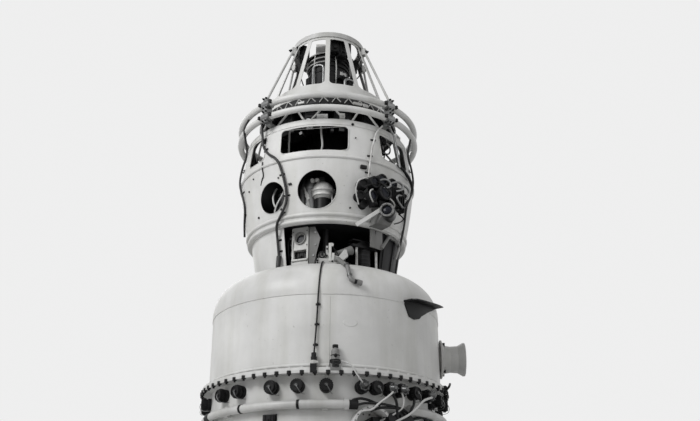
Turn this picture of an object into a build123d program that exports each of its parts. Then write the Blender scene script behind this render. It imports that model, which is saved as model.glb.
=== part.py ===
from build123d import *
import math
import os

# Space capsule. Millimetres, +Z up, origin on the floor under the axis.
# Azimuth 0 is the front (-Y) and grows towards +X.

# Heights of the stack, from the floor up
FLANGE_Z = 960.0
CYL_H = 395.0
DOME_H = 205.0
CROWN_H = 15.0
BAY_H = 227.0
BAND_H = 58.0
LOW_BODY_H = 300.0
HIGH_BODY_H = 243.0
HOOP_GAP = 45.0
HOOP_PITCH = 82.0
CAGE_GAP = 30.0
CAGE_H = 550.0

# Radii, each one step in or out from its neighbour
CYL_R = 614.0
FLANGE_PROUD = 36.0
SKIRT_INSET = 14.0
FOOT_INSET = 40.0
WAIST_INSET = 113.0
LOW_TAPER = 49.0
BAND_TAPER = 15.0
BAND_PROUD = 13.0
BAY_TAPER = 38.0
CROWN_LAP = 6.0
CROWN_W = 78.0
HIGH_TAPER = 29.0
RIM_W = 42.0
HOOP_PROUD = 45.0
CAGE_INSET = 34.0
CAGE_TAPER = 183.0
LOW_BOW = 5.0
HIGH_BOW = 4.0
DOME_IN = 0.285
DOME_UP = 0.707

# Walls and plates
CYL_WALL = 6.0
SKIRT_WALL = 8.0
BODY_WALL = 4.0
CAGE_WALL = 5.0
FLANGE_T = 13.0
FLANGE_LAP = 16.0
DECK_T = 6.0
SEAT_GAP = 0.5

# Beads, bands and the rim of the shells
FOOT_BEAD_UP = 42.0
FOOT_BEAD_R = 9.0
WELD_R = 3.0
BAND_WALL = 16.0
BAND_BEAD_R = 10.0
BEAD_EDGE = 13.0
WAIST_BEAD_H = 8.0
RIM_DROP = 34.0
RIM_T = 6.0
RIM_LIP = 3.0

# Base ring and skirt
BASE_H = 46.0
BASE_WEB = 14.0
BASE_TOE = 70.0
BASE_BOLTS = 24
BASE_BOLT_D = 17.0
BASE_BOLT_INSET = 24.0
GUSSET_W = 30.0
GUSSET_T = 8.0
SKIRT_WAIST_Z = 190.0
FRAME_Z = 430.0
FRAME_T = 12.0
FRAME_PROUD = 20.0
BULKHEAD_T = 6.0

# Open bay of the lower shell, as azimuths
BAY_FROM = -33.0
BAY_TO = 98.0

# Core, hoops and cage
CORE_R = 105.0
HOOP_TUBE_R = 18.0
CAGE_RIBS = 12
CAGE_RIB_W = 26.0
CAGE_SKIRT_H = 142.0
CAGE_BAND_H = 20.0
CAGE_FOOT_FILLET = 26.0
CAGE_TOP_FILLET = 8.0
CAGE_RING_H = 30.0
CAGE_RING_T = 8.0
CAGE_RING_W = 34.0
CAGE_PHASE = -1.5
DRUM_R = 120.0
DRUM_FOOT_W = 26.0
DRUM_BAND_W = 8.0
STRUT_R = 7.0

JOINT_Z = FLANGE_Z + FLANGE_T
FLANGE_TOP_Z = JOINT_Z + FLANGE_T
SHOULDER_Z = FLANGE_Z + CYL_H
SHOULDER_END_Z = SHOULDER_Z + DOME_H
CROWN_Z = SHOULDER_END_Z + CROWN_H
BAND_FOOT_Z = CROWN_Z + BAY_H
BAND_TOP_Z = BAND_FOOT_Z + BAND_H
WAIST_Z = BAND_TOP_Z + LOW_BODY_H
RIM_Z = WAIST_Z + HIGH_BODY_H
HOOP_LOW_Z = RIM_Z + HOOP_GAP
HOOP_HIGH_Z = HOOP_LOW_Z + HOOP_PITCH
CAGE_FOOT_Z = HOOP_HIGH_Z + CAGE_GAP
CAGE_TOP_Z = CAGE_FOOT_Z + CAGE_H
CAGE_DECK_Z = CAGE_FOOT_Z + DECK_T

FLANGE_R = CYL_R + FLANGE_PROUD
SKIRT_R = CYL_R - SKIRT_INSET
SKIRT_FOOT_R = SKIRT_R - FOOT_INSET
WAIST_R = CYL_R - WAIST_INSET
BAND_TOP_R = WAIST_R - LOW_TAPER
BAND_FOOT_R = BAND_TOP_R - BAND_TAPER
LOW_SHELL_TOP_R = BAND_FOOT_R - BAND_PROUD
LOW_SHELL_FOOT_R = LOW_SHELL_TOP_R - BAY_TAPER
CROWN_R = LOW_SHELL_FOOT_R + CROWN_LAP
SHOULDER_END_R = CROWN_R + CROWN_W
RIM_R = WAIST_R - HIGH_TAPER
RIM_INNER_R = RIM_R - RIM_W
HOOP_R = RIM_R + HOOP_PROUD
CAGE_FOOT_R = RIM_INNER_R - CAGE_INSET
CAGE_TOP_R = CAGE_FOOT_R - CAGE_TAPER
LOW_BOW_R = (BAND_TOP_R + WAIST_R) / 2 + LOW_BOW
HIGH_BOW_R = (WAIST_R + RIM_R) / 2 + HIGH_BOW
SHOULDER_MID_R = CYL_R - DOME_IN * (CYL_R - SHOULDER_END_R)
SHOULDER_MID_Z = SHOULDER_Z + DOME_UP * DOME_H
BAND_RISE = BAND_TAPER / BAND_H

os.makedirs("parts", exist_ok=True)


def polar(radius, azimuth, height):
    a = math.radians(azimuth)
    return (radius * math.sin(a), -radius * math.cos(a), height)


def section_plane(azimuth):
    a = math.radians(azimuth)
    return Plane(
        origin=(0, 0, 0),
        x_dir=(math.sin(a), -math.cos(a), 0),
        z_dir=(-math.cos(a), -math.sin(a), 0),
    )


def wall_plane(radius, azimuth, height, side=0.0):
    a = math.radians(azimuth)
    x, y, z = polar(radius, azimuth, height)
    return Plane(
        origin=(x + side * math.cos(a), y + side * math.sin(a), z),
        x_dir=(math.cos(a), math.sin(a), 0),
        z_dir=(math.sin(a), -math.cos(a), 0),
    )


def turned(points, start=0.0, arc=360.0):
    with BuildPart() as piece:
        with BuildSketch(section_plane(start)):
            with BuildLine():
                Polyline(*points, close=True)
            make_face()
        revolve(axis=Axis.Z, revolution_arc=arc)
    return piece.part


def bowed(foot_r, foot_z, mid_r, top_r, top_z, wall):
    mid_z = (foot_z + top_z) / 2
    with BuildPart() as piece:
        with BuildSketch(section_plane(0)):
            with BuildLine():
                ThreePointArc((foot_r, foot_z), (mid_r, mid_z), (top_r, top_z))
                Line((top_r, top_z), (top_r - wall, top_z))
                ThreePointArc((top_r - wall, top_z), (mid_r - wall, mid_z), (foot_r - wall, foot_z))
                Line((foot_r - wall, foot_z), (foot_r, foot_z))
            make_face()
        revolve(axis=Axis.Z)
    return piece.part


def hoop(radius, height, tube_r, start=0.0, arc=360.0):
    with BuildPart() as piece:
        with BuildSketch(section_plane(start)):
            with Locations((radius, height)):
                Circle(tube_r)
        revolve(axis=Axis.Z, revolution_arc=arc)
    return piece.part


def barrel(plane, radius, length, centred=False):
    with BuildPart() as piece:
        with BuildSketch(plane):
            Circle(radius)
        extrude(amount=length / 2 if centred else length, both=centred)
    return piece.part


def slab(plane, width, height, depth, corner=0.0):
    with BuildPart() as piece:
        with BuildSketch(plane):
            if corner:
                RectangleRounded(width, height, corner)
            else:
                Rectangle(width, height)
        extrude(amount=depth)
    return piece.part


def plate(plane, points, depth, both=False):
    with BuildPart() as piece:
        with BuildSketch(plane):
            with BuildLine():
                Polyline(*points, close=True)
            make_face()
        extrude(amount=depth, both=both)
    return piece.part


def post(radius, azimuth, foot_z, top_z, post_r):
    with BuildPart() as piece:
        with Locations(polar(radius, azimuth, (foot_z + top_z) / 2)):
            Cylinder(post_r, top_z - foot_z)
    return piece.part


def rod(start, end, radius):
    s = Vector(*start)
    e = Vector(*end)
    with BuildPart() as piece:
        with BuildSketch(Plane(origin=s, z_dir=e - s)):
            Circle(radius)
        extrude(amount=(e - s).length)
    return piece.part


def tube(points, radius, bend):
    with BuildPart() as piece:
        with BuildLine() as path:
            FilletPolyline(*points, radius=bend)
        with BuildSketch(Plane(origin=path.line @ 0, z_dir=path.line % 0)):
            Circle(radius)
        sweep(path=path.line)
    return piece.part


def eased_bends(points):
    bends = []
    for before, here, after in zip(points, points[1:], points[2:]):
        first = Vector(*here) - Vector(*before)
        second = Vector(*after) - Vector(*here)
        half_turn = math.radians(first.get_angle(second)) / 2
        bends.append(0.45 * min(first.length, second.length) / math.tan(half_turn))
    return bends


# Base ring with its bolt circle and gussets

with BuildPart() as base_ring:
    add(turned([
        (SKIRT_R - BASE_TOE, 0), (SKIRT_R, 0), (SKIRT_R, BASE_WEB),
        (SKIRT_FOOT_R, BASE_WEB), (SKIRT_FOOT_R, BASE_H),
        (SKIRT_FOOT_R - BASE_WEB, BASE_H), (SKIRT_FOOT_R - BASE_WEB, BASE_WEB),
        (SKIRT_R - BASE_TOE, BASE_WEB),
    ]))
    with PolarLocations(SKIRT_R - BASE_BOLT_INSET, BASE_BOLTS):
        Cylinder(BASE_BOLT_D / 2, 4 * BASE_WEB, mode=Mode.SUBTRACT)
    for bay in range(BASE_BOLTS):
        add(plate(section_plane((bay + 0.5) * 360 / BASE_BOLTS), [
            (SKIRT_FOOT_R - BASE_WEB / 2, BASE_WEB / 2), (SKIRT_FOOT_R + GUSSET_W, BASE_WEB / 2),
            (SKIRT_FOOT_R + GUSSET_W, BASE_WEB), (SKIRT_FOOT_R, BASE_H),
            (SKIRT_FOOT_R - BASE_WEB / 2, BASE_H),
        ], GUSSET_T / 2, both=True))
base_ring.part.label = "base_ring"
export_step(base_ring.part, "parts/base_ring.step")

# Instrument skirt with its ring frame and the two round service openings

PORTS = [
    {"azimuth": 21.0, "drop": 245.0, "radius": 104.0},
    {"azimuth": -150.0, "drop": 292.0, "radius": 104.0},
]
PORT_RIM_W = 12.0
PORT_RIM_OUT = 34.0
PORT_SEAT = 60.0

with BuildPart() as skirt:
    add(turned([
        (SKIRT_FOOT_R - SKIRT_WALL, BASE_H), (SKIRT_FOOT_R, BASE_H),
        (SKIRT_R, SKIRT_WAIST_Z), (SKIRT_R, FRAME_Z - FRAME_T),
        (SKIRT_R + FRAME_PROUD, FRAME_Z - FRAME_T), (SKIRT_R + FRAME_PROUD, FRAME_Z + FRAME_T),
        (SKIRT_R, FRAME_Z + FRAME_T), (SKIRT_R, FLANGE_Z),
        (SKIRT_R - SKIRT_WALL, FLANGE_Z), (SKIRT_R - SKIRT_WALL, SKIRT_WAIST_Z),
    ]))
    for port in PORTS:
        add(
            barrel(
                wall_plane(SKIRT_R - 2 * PORT_SEAT, port["azimuth"], FLANGE_Z - port["drop"]),
                port["radius"], 3 * PORT_SEAT,
            ),
            mode=Mode.SUBTRACT,
        )
skirt.part.label = "instrument_skirt"
export_step(skirt.part, "parts/instrument_skirt.step")

with BuildPart() as bulkhead:
    with Locations((0, 0, BASE_H + BULKHEAD_T / 2)):
        Cylinder(SKIRT_FOOT_R - SKIRT_WALL - SEAT_GAP, BULKHEAD_T)
bulkhead.part.label = "lower_bulkhead"
export_step(bulkhead.part, "parts/lower_bulkhead.step")

# Flange halves

with BuildPart() as lower_flange:
    add(turned([
        (SKIRT_R - SKIRT_WALL, FLANGE_Z), (FLANGE_R, FLANGE_Z),
        (FLANGE_R, JOINT_Z), (SKIRT_R - SKIRT_WALL, JOINT_Z),
    ]))
lower_flange.part.label = "lower_flange"
export_step(lower_flange.part, "parts/lower_flange.step")

with BuildPart() as upper_flange:
    add(turned([
        (CYL_R - CYL_WALL - FLANGE_LAP, JOINT_Z), (FLANGE_R, JOINT_Z),
        (FLANGE_R, FLANGE_TOP_Z), (CYL_R - CYL_WALL - FLANGE_LAP, FLANGE_TOP_Z),
    ]))
upper_flange.part.label = "upper_flange"
export_step(upper_flange.part, "parts/upper_flange.step")

# Main cylinder with its domed shoulder


def drum_solid(inset):
    dome_inset = inset * DOME_UP
    with BuildPart() as piece:
        with BuildSketch(section_plane(0)):
            with BuildLine():
                Line((0, FLANGE_TOP_Z), (CYL_R - inset, FLANGE_TOP_Z))
                Line((CYL_R - inset, FLANGE_TOP_Z), (CYL_R - inset, SHOULDER_Z))
                ThreePointArc(
                    (CYL_R - inset, SHOULDER_Z),
                    (SHOULDER_MID_R - dome_inset, SHOULDER_MID_Z - dome_inset),
                    (SHOULDER_END_R, SHOULDER_END_Z - inset),
                )
                Line((SHOULDER_END_R, SHOULDER_END_Z - inset), (CROWN_R, CROWN_Z - inset))
                Line((CROWN_R, CROWN_Z - inset), (0, CROWN_Z - inset))
                Line((0, CROWN_Z - inset), (0, FLANGE_TOP_Z))
            make_face()
        revolve(axis=Axis.Z)
    return piece.part


drum_envelope = drum_solid(0)

with BuildPart() as cylinder:
    add(drum_envelope)
    add(hoop(CYL_R, FLANGE_Z + FOOT_BEAD_UP, FOOT_BEAD_R))
    add(hoop(CYL_R, SHOULDER_Z, WELD_R))
    add(drum_solid(CYL_WALL), mode=Mode.SUBTRACT)
cylinder.part.label = "main_cylinder"
export_step(cylinder.part, "parts/main_cylinder.step")

# Lower shell, open at the front and right

with BuildPart() as lower_shell:
    add(turned([
        (LOW_SHELL_FOOT_R - BODY_WALL, CROWN_Z), (LOW_SHELL_FOOT_R, CROWN_Z),
        (LOW_SHELL_TOP_R, BAND_FOOT_Z), (LOW_SHELL_TOP_R - BODY_WALL, BAND_FOOT_Z),
    ], BAY_TO, 360 - (BAY_TO - BAY_FROM)))
lower_shell.part.label = "lower_shell"
export_step(lower_shell.part, "parts/lower_shell.step")

# Beaded band under the upper body

with BuildPart() as band:
    with BuildSketch(section_plane(0)):
        with BuildLine():
            Polyline(
                (BAND_FOOT_R - BAND_WALL, BAND_FOOT_Z), (BAND_FOOT_R, BAND_FOOT_Z),
                (BAND_TOP_R, BAND_TOP_Z), (BAND_TOP_R - BAND_WALL, BAND_TOP_Z), close=True,
            )
        make_face()
        for rise in (BEAD_EDGE, BAND_H - BEAD_EDGE):
            with Locations((BAND_FOOT_R + BAND_RISE * rise, BAND_FOOT_Z + rise)):
                Circle(BAND_BEAD_R)
    revolve(axis=Axis.Z)
band.part.label = "beaded_band"
export_step(band.part, "parts/beaded_band.step")

# Porthole shell, each opening at its rise above the band

PORTHOLES = [
    {"azimuth": -6.7, "rise": 118.0, "radius": 106.0},
    {"azimuth": -39.0, "rise": 110.0, "radius": 88.0},
    {"azimuth": 40.0, "rise": 128.0, "radius": 100.0},
    {"azimuth": 120.0, "rise": 118.0, "radius": 88.0},
    {"azimuth": -120.0, "rise": 118.0, "radius": 88.0},
    {"azimuth": 180.0, "rise": 118.0, "radius": 106.0},
]

with BuildPart() as porthole_shell:
    add(bowed(BAND_TOP_R, BAND_TOP_Z, LOW_BOW_R, WAIST_R, WAIST_Z, BODY_WALL))
    for hole in PORTHOLES:
        add(
            barrel(
                wall_plane(BAND_TOP_R / 2, hole["azimuth"], BAND_TOP_Z + hole["rise"]),
                hole["radius"], WAIST_R,
            ),
            mode=Mode.SUBTRACT,
        )
porthole_shell.part.label = "porthole_shell"
export_step(porthole_shell.part, "parts/porthole_shell.step")

# Window shell

WINDOWS = [
    {"azimuth": -9.2, "width": 374.0},
    {"azimuth": -53.0, "width": 146.0},
    {"azimuth": 50.0, "width": 236.0},
    {"azimuth": 120.0, "width": 300.0},
    {"azimuth": -110.0, "width": 236.0},
    {"azimuth": 180.0, "width": 236.0},
]
WINDOW_H = 158.0
WINDOW_RISE = 118.0
WINDOW_CORNER = 26.0

with BuildPart() as window_shell:
    add(bowed(WAIST_R, WAIST_Z, HIGH_BOW_R, RIM_R, RIM_Z - RIM_DROP, BODY_WALL))
    for window in WINDOWS:
        add(
            slab(
                wall_plane(WAIST_R / 2, window["azimuth"], WAIST_Z + WINDOW_RISE),
                window["width"], WINDOW_H, WAIST_R, WINDOW_CORNER,
            ),
            mode=Mode.SUBTRACT,
        )
window_shell.part.label = "window_shell"
export_step(window_shell.part, "parts/window_shell.step")

with BuildPart() as waist_bead:
    add(turned([
        (WAIST_R, WAIST_Z - WAIST_BEAD_H), (WAIST_R + WAIST_BEAD_H / 2, WAIST_Z - WAIST_BEAD_H),
        (WAIST_R + WAIST_BEAD_H, WAIST_Z - WAIST_BEAD_H / 3),
        (WAIST_R + WAIST_BEAD_H, WAIST_Z + WAIST_BEAD_H / 3),
        (WAIST_R + WAIST_BEAD_H / 2, WAIST_Z + WAIST_BEAD_H), (WAIST_R, WAIST_Z + WAIST_BEAD_H),
    ]))
waist_bead.part.label = "waist_bead"
export_step(waist_bead.part, "parts/waist_bead.step")

with BuildPart() as rim:
    add(turned([
        (RIM_INNER_R, RIM_Z - RIM_T), (RIM_R - BODY_WALL, RIM_Z - RIM_T),
        (RIM_R - BODY_WALL, RIM_Z - RIM_DROP), (RIM_R + RIM_LIP, RIM_Z - RIM_DROP),
        (RIM_R, RIM_Z), (RIM_INNER_R, RIM_Z),
    ]))
rim.part.label = "shell_rim"
export_step(rim.part, "parts/shell_rim.step")

# Decks and core column inside

LOWER_DECK_UP = 20.0
MIDDLE_DECK_GAP = 1.5
CAGE_DECK_GAP = 2.4
DECKS = [
    {"name": "lower_deck", "radius": BAND_FOOT_R - BAND_WALL, "height": BAND_FOOT_Z + LOWER_DECK_UP},
    {"name": "middle_deck", "radius": WAIST_R - BODY_WALL - MIDDLE_DECK_GAP, "height": WAIST_Z},
    {
        "name": "cage_deck",
        "radius": CAGE_FOOT_R - CAGE_WALL - CAGE_DECK_GAP,
        "height": CAGE_DECK_Z - DECK_T / 2,
    },
]
for deck in DECKS:
    with BuildPart() as floor_plate:
        with Locations((0, 0, deck["height"])):
            Cylinder(deck["radius"], DECK_T)
            Cylinder(CORE_R, DECK_T, mode=Mode.SUBTRACT)
    floor_plate.part.label = deck["name"]
    export_step(floor_plate.part, "parts/" + deck["name"] + ".step")

with BuildPart() as core:
    with Locations((0, 0, (CROWN_Z + CAGE_DECK_Z) / 2)):
        Cylinder(CORE_R, CAGE_DECK_Z - CROWN_Z)
core.part.label = "core_column"
export_step(core.part, "parts/core_column.step")

# Twin hoops, their clamps and the outer struts

with BuildPart() as high_hoop:
    add(hoop(HOOP_R, HOOP_HIGH_Z, HOOP_TUBE_R))
high_hoop.part.label = "upper_hoop"
export_step(high_hoop.part, "parts/upper_hoop.step")

with BuildPart() as low_hoop:
    add(hoop(HOOP_R, HOOP_LOW_Z, HOOP_TUBE_R))
low_hoop.part.label = "lower_hoop"
export_step(low_hoop.part, "parts/lower_hoop.step")

CLAMP_W = 30.0
CLAMP_OUT = 22.0
CLAMP_OVER = 36.0
CLAMP_COLLAR = 9.0
CLAMP_TURN = 6.0
CLAMP_ARM_T = 14.0
CLAMP_ARM_IN = 24.0
STRUTS = [
    {"top": -66.0, "foot": -41.0},
    {"top": 66.0, "foot": 41.0},
    {"top": 114.0, "foot": 139.0},
    {"top": -114.0, "foot": -139.0},
]
CLAMP_MID_Z = (HOOP_HIGH_Z + HOOP_LOW_Z) / 2

with BuildPart() as clamps:
    for strut in STRUTS:
        azimuth = strut["foot"]
        add(slab(
            wall_plane(HOOP_R - CLAMP_OUT, azimuth, CLAMP_MID_Z),
            CLAMP_W, HOOP_PITCH + 2 * CLAMP_OVER, 2 * CLAMP_OUT, CLAMP_COLLAR / 2,
        ))
        for level in (HOOP_LOW_Z, HOOP_HIGH_Z):
            add(hoop(
                HOOP_R, level, HOOP_TUBE_R + CLAMP_COLLAR, azimuth - CLAMP_TURN / 2, CLAMP_TURN,
            ))
        add(slab(
            wall_plane(RIM_INNER_R + CLAMP_ARM_IN, azimuth, RIM_Z + CLAMP_ARM_T / 2),
            CLAMP_W, CLAMP_ARM_T, HOOP_R - RIM_INNER_R - CLAMP_ARM_IN,
        ))
    add(high_hoop.part, mode=Mode.SUBTRACT)
    add(low_hoop.part, mode=Mode.SUBTRACT)
clamps.part.label = "hoop_clamps"
export_step(clamps.part, "parts/hoop_clamps.step")

STRUT_OUT = 30.0
STRUT_DROP = 32.0
STRUT_LUG_W = 30.0
STRUT_LUG_H = 44.0

with BuildPart() as struts:
    for strut in STRUTS:
        add(rod(
            polar(CAGE_TOP_R + STRUT_OUT, strut["top"], CAGE_TOP_Z - STRUT_DROP),
            polar(HOOP_R + STRUT_R, strut["foot"], HOOP_HIGH_Z + CLAMP_OVER - STRUT_R), STRUT_R,
        ))
        add(slab(
            wall_plane(CAGE_TOP_R, strut["top"], CAGE_TOP_Z - STRUT_DROP),
            STRUT_LUG_W, STRUT_LUG_H, STRUT_OUT + STRUT_R,
        ))
    add(clamps.part, mode=Mode.SUBTRACT)
    with Locations((0, 0, (CAGE_FOOT_Z + CAGE_TOP_Z) / 2)):
        Cone(CAGE_FOOT_R, CAGE_TOP_R, CAGE_TOP_Z - CAGE_FOOT_Z, mode=Mode.SUBTRACT)
struts.part.label = "outer_struts"
export_step(struts.part, "parts/outer_struts.step")

# Cage cone cut into ribs between its skirt and top band

CAGE_SLOPE = CAGE_TAPER / CAGE_H
SLOT_FOOT_Z = CAGE_FOOT_Z + CAGE_SKIRT_H
SLOT_TOP_Z = CAGE_TOP_Z - CAGE_BAND_H


def cage_radius(height):
    return CAGE_FOOT_R - CAGE_SLOPE * (height - CAGE_FOOT_Z)


def half_slot(height):
    return cage_radius(height) * math.sin(math.pi / CAGE_RIBS) - CAGE_RIB_W / 2


with BuildPart() as cage:
    add(turned([
        (CAGE_FOOT_R - CAGE_WALL, CAGE_FOOT_Z), (CAGE_FOOT_R, CAGE_FOOT_Z),
        (CAGE_TOP_R, CAGE_TOP_Z), (CAGE_TOP_R - CAGE_WALL, CAGE_TOP_Z),
    ]))
    for rib in range(CAGE_RIBS):
        with BuildSketch(wall_plane(CAGE_TOP_R / 2, CAGE_PHASE + (rib + 0.5) * 360 / CAGE_RIBS, 0)) as slot:
            with BuildLine():
                Polyline(
                    (-half_slot(SLOT_FOOT_Z), SLOT_FOOT_Z), (half_slot(SLOT_FOOT_Z), SLOT_FOOT_Z),
                    (half_slot(SLOT_TOP_Z), SLOT_TOP_Z), (-half_slot(SLOT_TOP_Z), SLOT_TOP_Z),
                    close=True,
                )
            make_face()
            fillet(slot.vertices().sort_by(Axis.Y)[:2], radius=CAGE_FOOT_FILLET)
            fillet(slot.vertices().sort_by(Axis.Y)[-2:], radius=CAGE_TOP_FILLET)
        extrude(amount=CAGE_FOOT_R, mode=Mode.SUBTRACT)
cage.part.label = "cage_cone"
export_step(cage.part, "parts/cage_cone.step")

with BuildPart() as cage_ring:
    add(turned([
        (CAGE_TOP_R - CAGE_WALL, CAGE_TOP_Z), (CAGE_TOP_R + CAGE_RING_T, CAGE_TOP_Z),
        (CAGE_TOP_R + CAGE_RING_T, CAGE_TOP_Z + CAGE_RING_H),
        (CAGE_TOP_R - CAGE_RING_W, CAGE_TOP_Z + CAGE_RING_H),
        (CAGE_TOP_R - CAGE_RING_W, CAGE_TOP_Z + CAGE_RING_H - CAGE_RING_T),
        (CAGE_TOP_R - CAGE_WALL, CAGE_TOP_Z + CAGE_RING_H - CAGE_RING_T),
    ]))
cage_ring.part.label = "cage_top_ring"
export_step(cage_ring.part, "parts/cage_top_ring.step")

# Zigzag truss from the shell rim up to the cage foot

TRUSS_BAYS = 12
TRUSS_ROD_R = 6.0
TRUSS_RING_H = 14.0
TRUSS_RING_W = 28.0
TRUSS_FOOT_IN = 12.0
TRUSS_SPREAD = 14.0
TRUSS_TOE = 1.5
TRUSS_PAD_W = 40.0
TRUSS_PAD_H = 8.0
TRUSS_PAD_D = 20.0

with BuildPart() as truss:
    add(turned([
        (CAGE_FOOT_R + TRUSS_ROD_R - TRUSS_RING_W, CAGE_FOOT_Z - TRUSS_RING_H),
        (CAGE_FOOT_R + TRUSS_ROD_R, CAGE_FOOT_Z - TRUSS_RING_H),
        (CAGE_FOOT_R + TRUSS_ROD_R, CAGE_FOOT_Z),
        (CAGE_FOOT_R + TRUSS_ROD_R - TRUSS_RING_W, CAGE_FOOT_Z),
    ]))
    for bay in range(TRUSS_BAYS):
        foot = (bay + 0.5) * 360 / TRUSS_BAYS
        for side in (-1, 1):
            add(rod(
                polar(RIM_INNER_R + TRUSS_FOOT_IN, foot + side * TRUSS_TOE, RIM_Z),
                polar(
                    CAGE_FOOT_R - TRUSS_PAD_H, foot + side * TRUSS_SPREAD,
                    CAGE_FOOT_Z - TRUSS_RING_H + TRUSS_ROD_R / 2,
                ),
                TRUSS_ROD_R,
            ))
        add(slab(
            wall_plane(RIM_INNER_R, foot, RIM_Z + TRUSS_PAD_H / 2),
            TRUSS_PAD_W, TRUSS_PAD_H, TRUSS_PAD_D,
        ))
    with Locations((0, 0, RIM_Z - TRUSS_PAD_D / 2)):
        Cylinder(RIM_R, TRUSS_PAD_D, mode=Mode.SUBTRACT)
truss.part.label = "cage_truss"
export_step(truss.part, "parts/cage_truss.step")

# Instruments inside the cage

DRUM_DROP = 48.0
DRUM_FOOT_H = 170.0
DRUM_TAPER_H = 24.0
DRUM_BAND_H = 9.0
DRUM_BANDS = (6.0, 32.0, 60.0, 90.0)
DRUM_TOP_Z = CAGE_TOP_Z - DRUM_DROP

with BuildPart() as drum:
    add(turned([
        (0, CAGE_DECK_Z), (DRUM_R + DRUM_FOOT_W, CAGE_DECK_Z),
        (DRUM_R + DRUM_FOOT_W, CAGE_DECK_Z + DRUM_FOOT_H),
        (DRUM_R, CAGE_DECK_Z + DRUM_FOOT_H + DRUM_TAPER_H), (DRUM_R, DRUM_TOP_Z), (0, DRUM_TOP_Z),
    ]))
    for below in DRUM_BANDS:
        with Locations((0, 0, DRUM_TOP_Z - below)):
            Cylinder(DRUM_R + DRUM_BAND_W, DRUM_BAND_H)
drum.part.label = "cage_drum"
export_step(drum.part, "parts/cage_drum.step")

TOP_BOX_REACH = 78.0
TOP_BOX_AZ = -20.0
TOP_BOX_W = 84.0
TOP_BOX_H = 52.0
TOP_CAN_R = 40.0

with BuildPart() as top_unit:
    add(slab(
        wall_plane(TOP_BOX_REACH / 2, TOP_BOX_AZ, DRUM_TOP_Z + TOP_BOX_H / 2),
        TOP_BOX_W, TOP_BOX_H, TOP_BOX_REACH, 4,
    ))
    with Locations(polar(TOP_BOX_REACH, 130, DRUM_TOP_Z + TOP_BOX_H / 3)):
        Cylinder(TOP_CAN_R, TOP_BOX_H * 2 / 3)
top_unit.part.label = "cage_top_units"
export_step(top_unit.part, "parts/cage_top_units.step")

LOOP_R = 8.0
LOOP_IN = 62.0
LOOPS = [
    {"azimuth": -16.5, "spread": 17.0, "top": 345.0},
    {"azimuth": 30.0, "spread": 15.0, "top": 240.0},
    {"azimuth": 120.0, "spread": 17.0, "top": 345.0},
    {"azimuth": -120.0, "spread": 15.0, "top": 240.0},
]
with BuildPart() as loops:
    for loop in LOOPS:
        top_z = CAGE_DECK_Z + loop["top"]
        reach = cage_radius(top_z) - LOOP_IN
        left = loop["azimuth"] - loop["spread"] / 2
        right = loop["azimuth"] + loop["spread"] / 2
        add(tube([
            polar(reach, left, CAGE_DECK_Z), polar(reach, left, top_z),
            polar(reach, right, top_z), polar(reach, right, CAGE_DECK_Z),
        ], LOOP_R, 3 * LOOP_R))
loops.part.label = "cage_pipe_loops"
export_step(loops.part, "parts/cage_pipe_loops.step")

# Units hung under the cage deck, seen between the hoops

DECK_UNIT_FACE = CAGE_FOOT_R - 64.0
DECK_UNIT_CORNER = 8.0
DECK_UNITS = [
    {"azimuth": -75.0, "width": 112.0, "hang": 118.0, "depth": 96.0},
    {"azimuth": -45.0, "width": 104.0, "hang": 134.0, "depth": 100.0},
    {"azimuth": -15.0, "width": 116.0, "hang": 126.0, "depth": 92.0},
    {"azimuth": 15.0, "width": 108.0, "hang": 136.0, "depth": 100.0},
    {"azimuth": 45.0, "width": 114.0, "hang": 112.0, "depth": 96.0},
    {"azimuth": 75.0, "width": 106.0, "hang": 130.0, "depth": 100.0},
]

with BuildPart() as deck_units:
    for half_turn in (0, 180):
        for unit in DECK_UNITS:
            add(slab(
                wall_plane(
                    DECK_UNIT_FACE - unit["depth"], unit["azimuth"] + half_turn,
                    CAGE_FOOT_Z - unit["hang"] / 2,
                ),
                unit["width"], unit["hang"], unit["depth"], DECK_UNIT_CORNER,
            ))
deck_units.part.label = "deck_units"
export_step(deck_units.part, "parts/deck_units.step")

# Equipment seen through the portholes

LOWER_DECK_TOP = BAND_FOOT_Z + LOWER_DECK_UP + DECK_T / 2
BOTTLE_AZ = -3.6
BOTTLE_REACH = BAND_TOP_R - 80.0
BOTTLE_Z = BAND_TOP_Z + 141.0
BOTTLE_R = 62.0
BOTTLE_BELT = 5.0
STAND_R = 44.0
STAND_WALL = 6.0
STAND_INTO = 34.0

with BuildPart() as bottle:
    with Locations(polar(BOTTLE_REACH, BOTTLE_AZ, BOTTLE_Z)):
        Sphere(BOTTLE_R)
        Cylinder(BOTTLE_R + BOTTLE_BELT, 2 * BOTTLE_BELT)
bottle.part.label = "spherical_bottle"
export_step(bottle.part, "parts/spherical_bottle.step")

with BuildPart() as bottle_stand:
    add(post(BOTTLE_REACH, BOTTLE_AZ, LOWER_DECK_TOP, BOTTLE_Z - STAND_INTO, STAND_R))
    add(
        post(BOTTLE_REACH, BOTTLE_AZ, LOWER_DECK_TOP, BOTTLE_Z - STAND_INTO, STAND_R - STAND_WALL),
        mode=Mode.SUBTRACT,
    )
    add(bottle.part, mode=Mode.SUBTRACT)
bottle_stand.part.label = "bottle_stand"
export_step(bottle_stand.part, "parts/bottle_stand.step")

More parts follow.
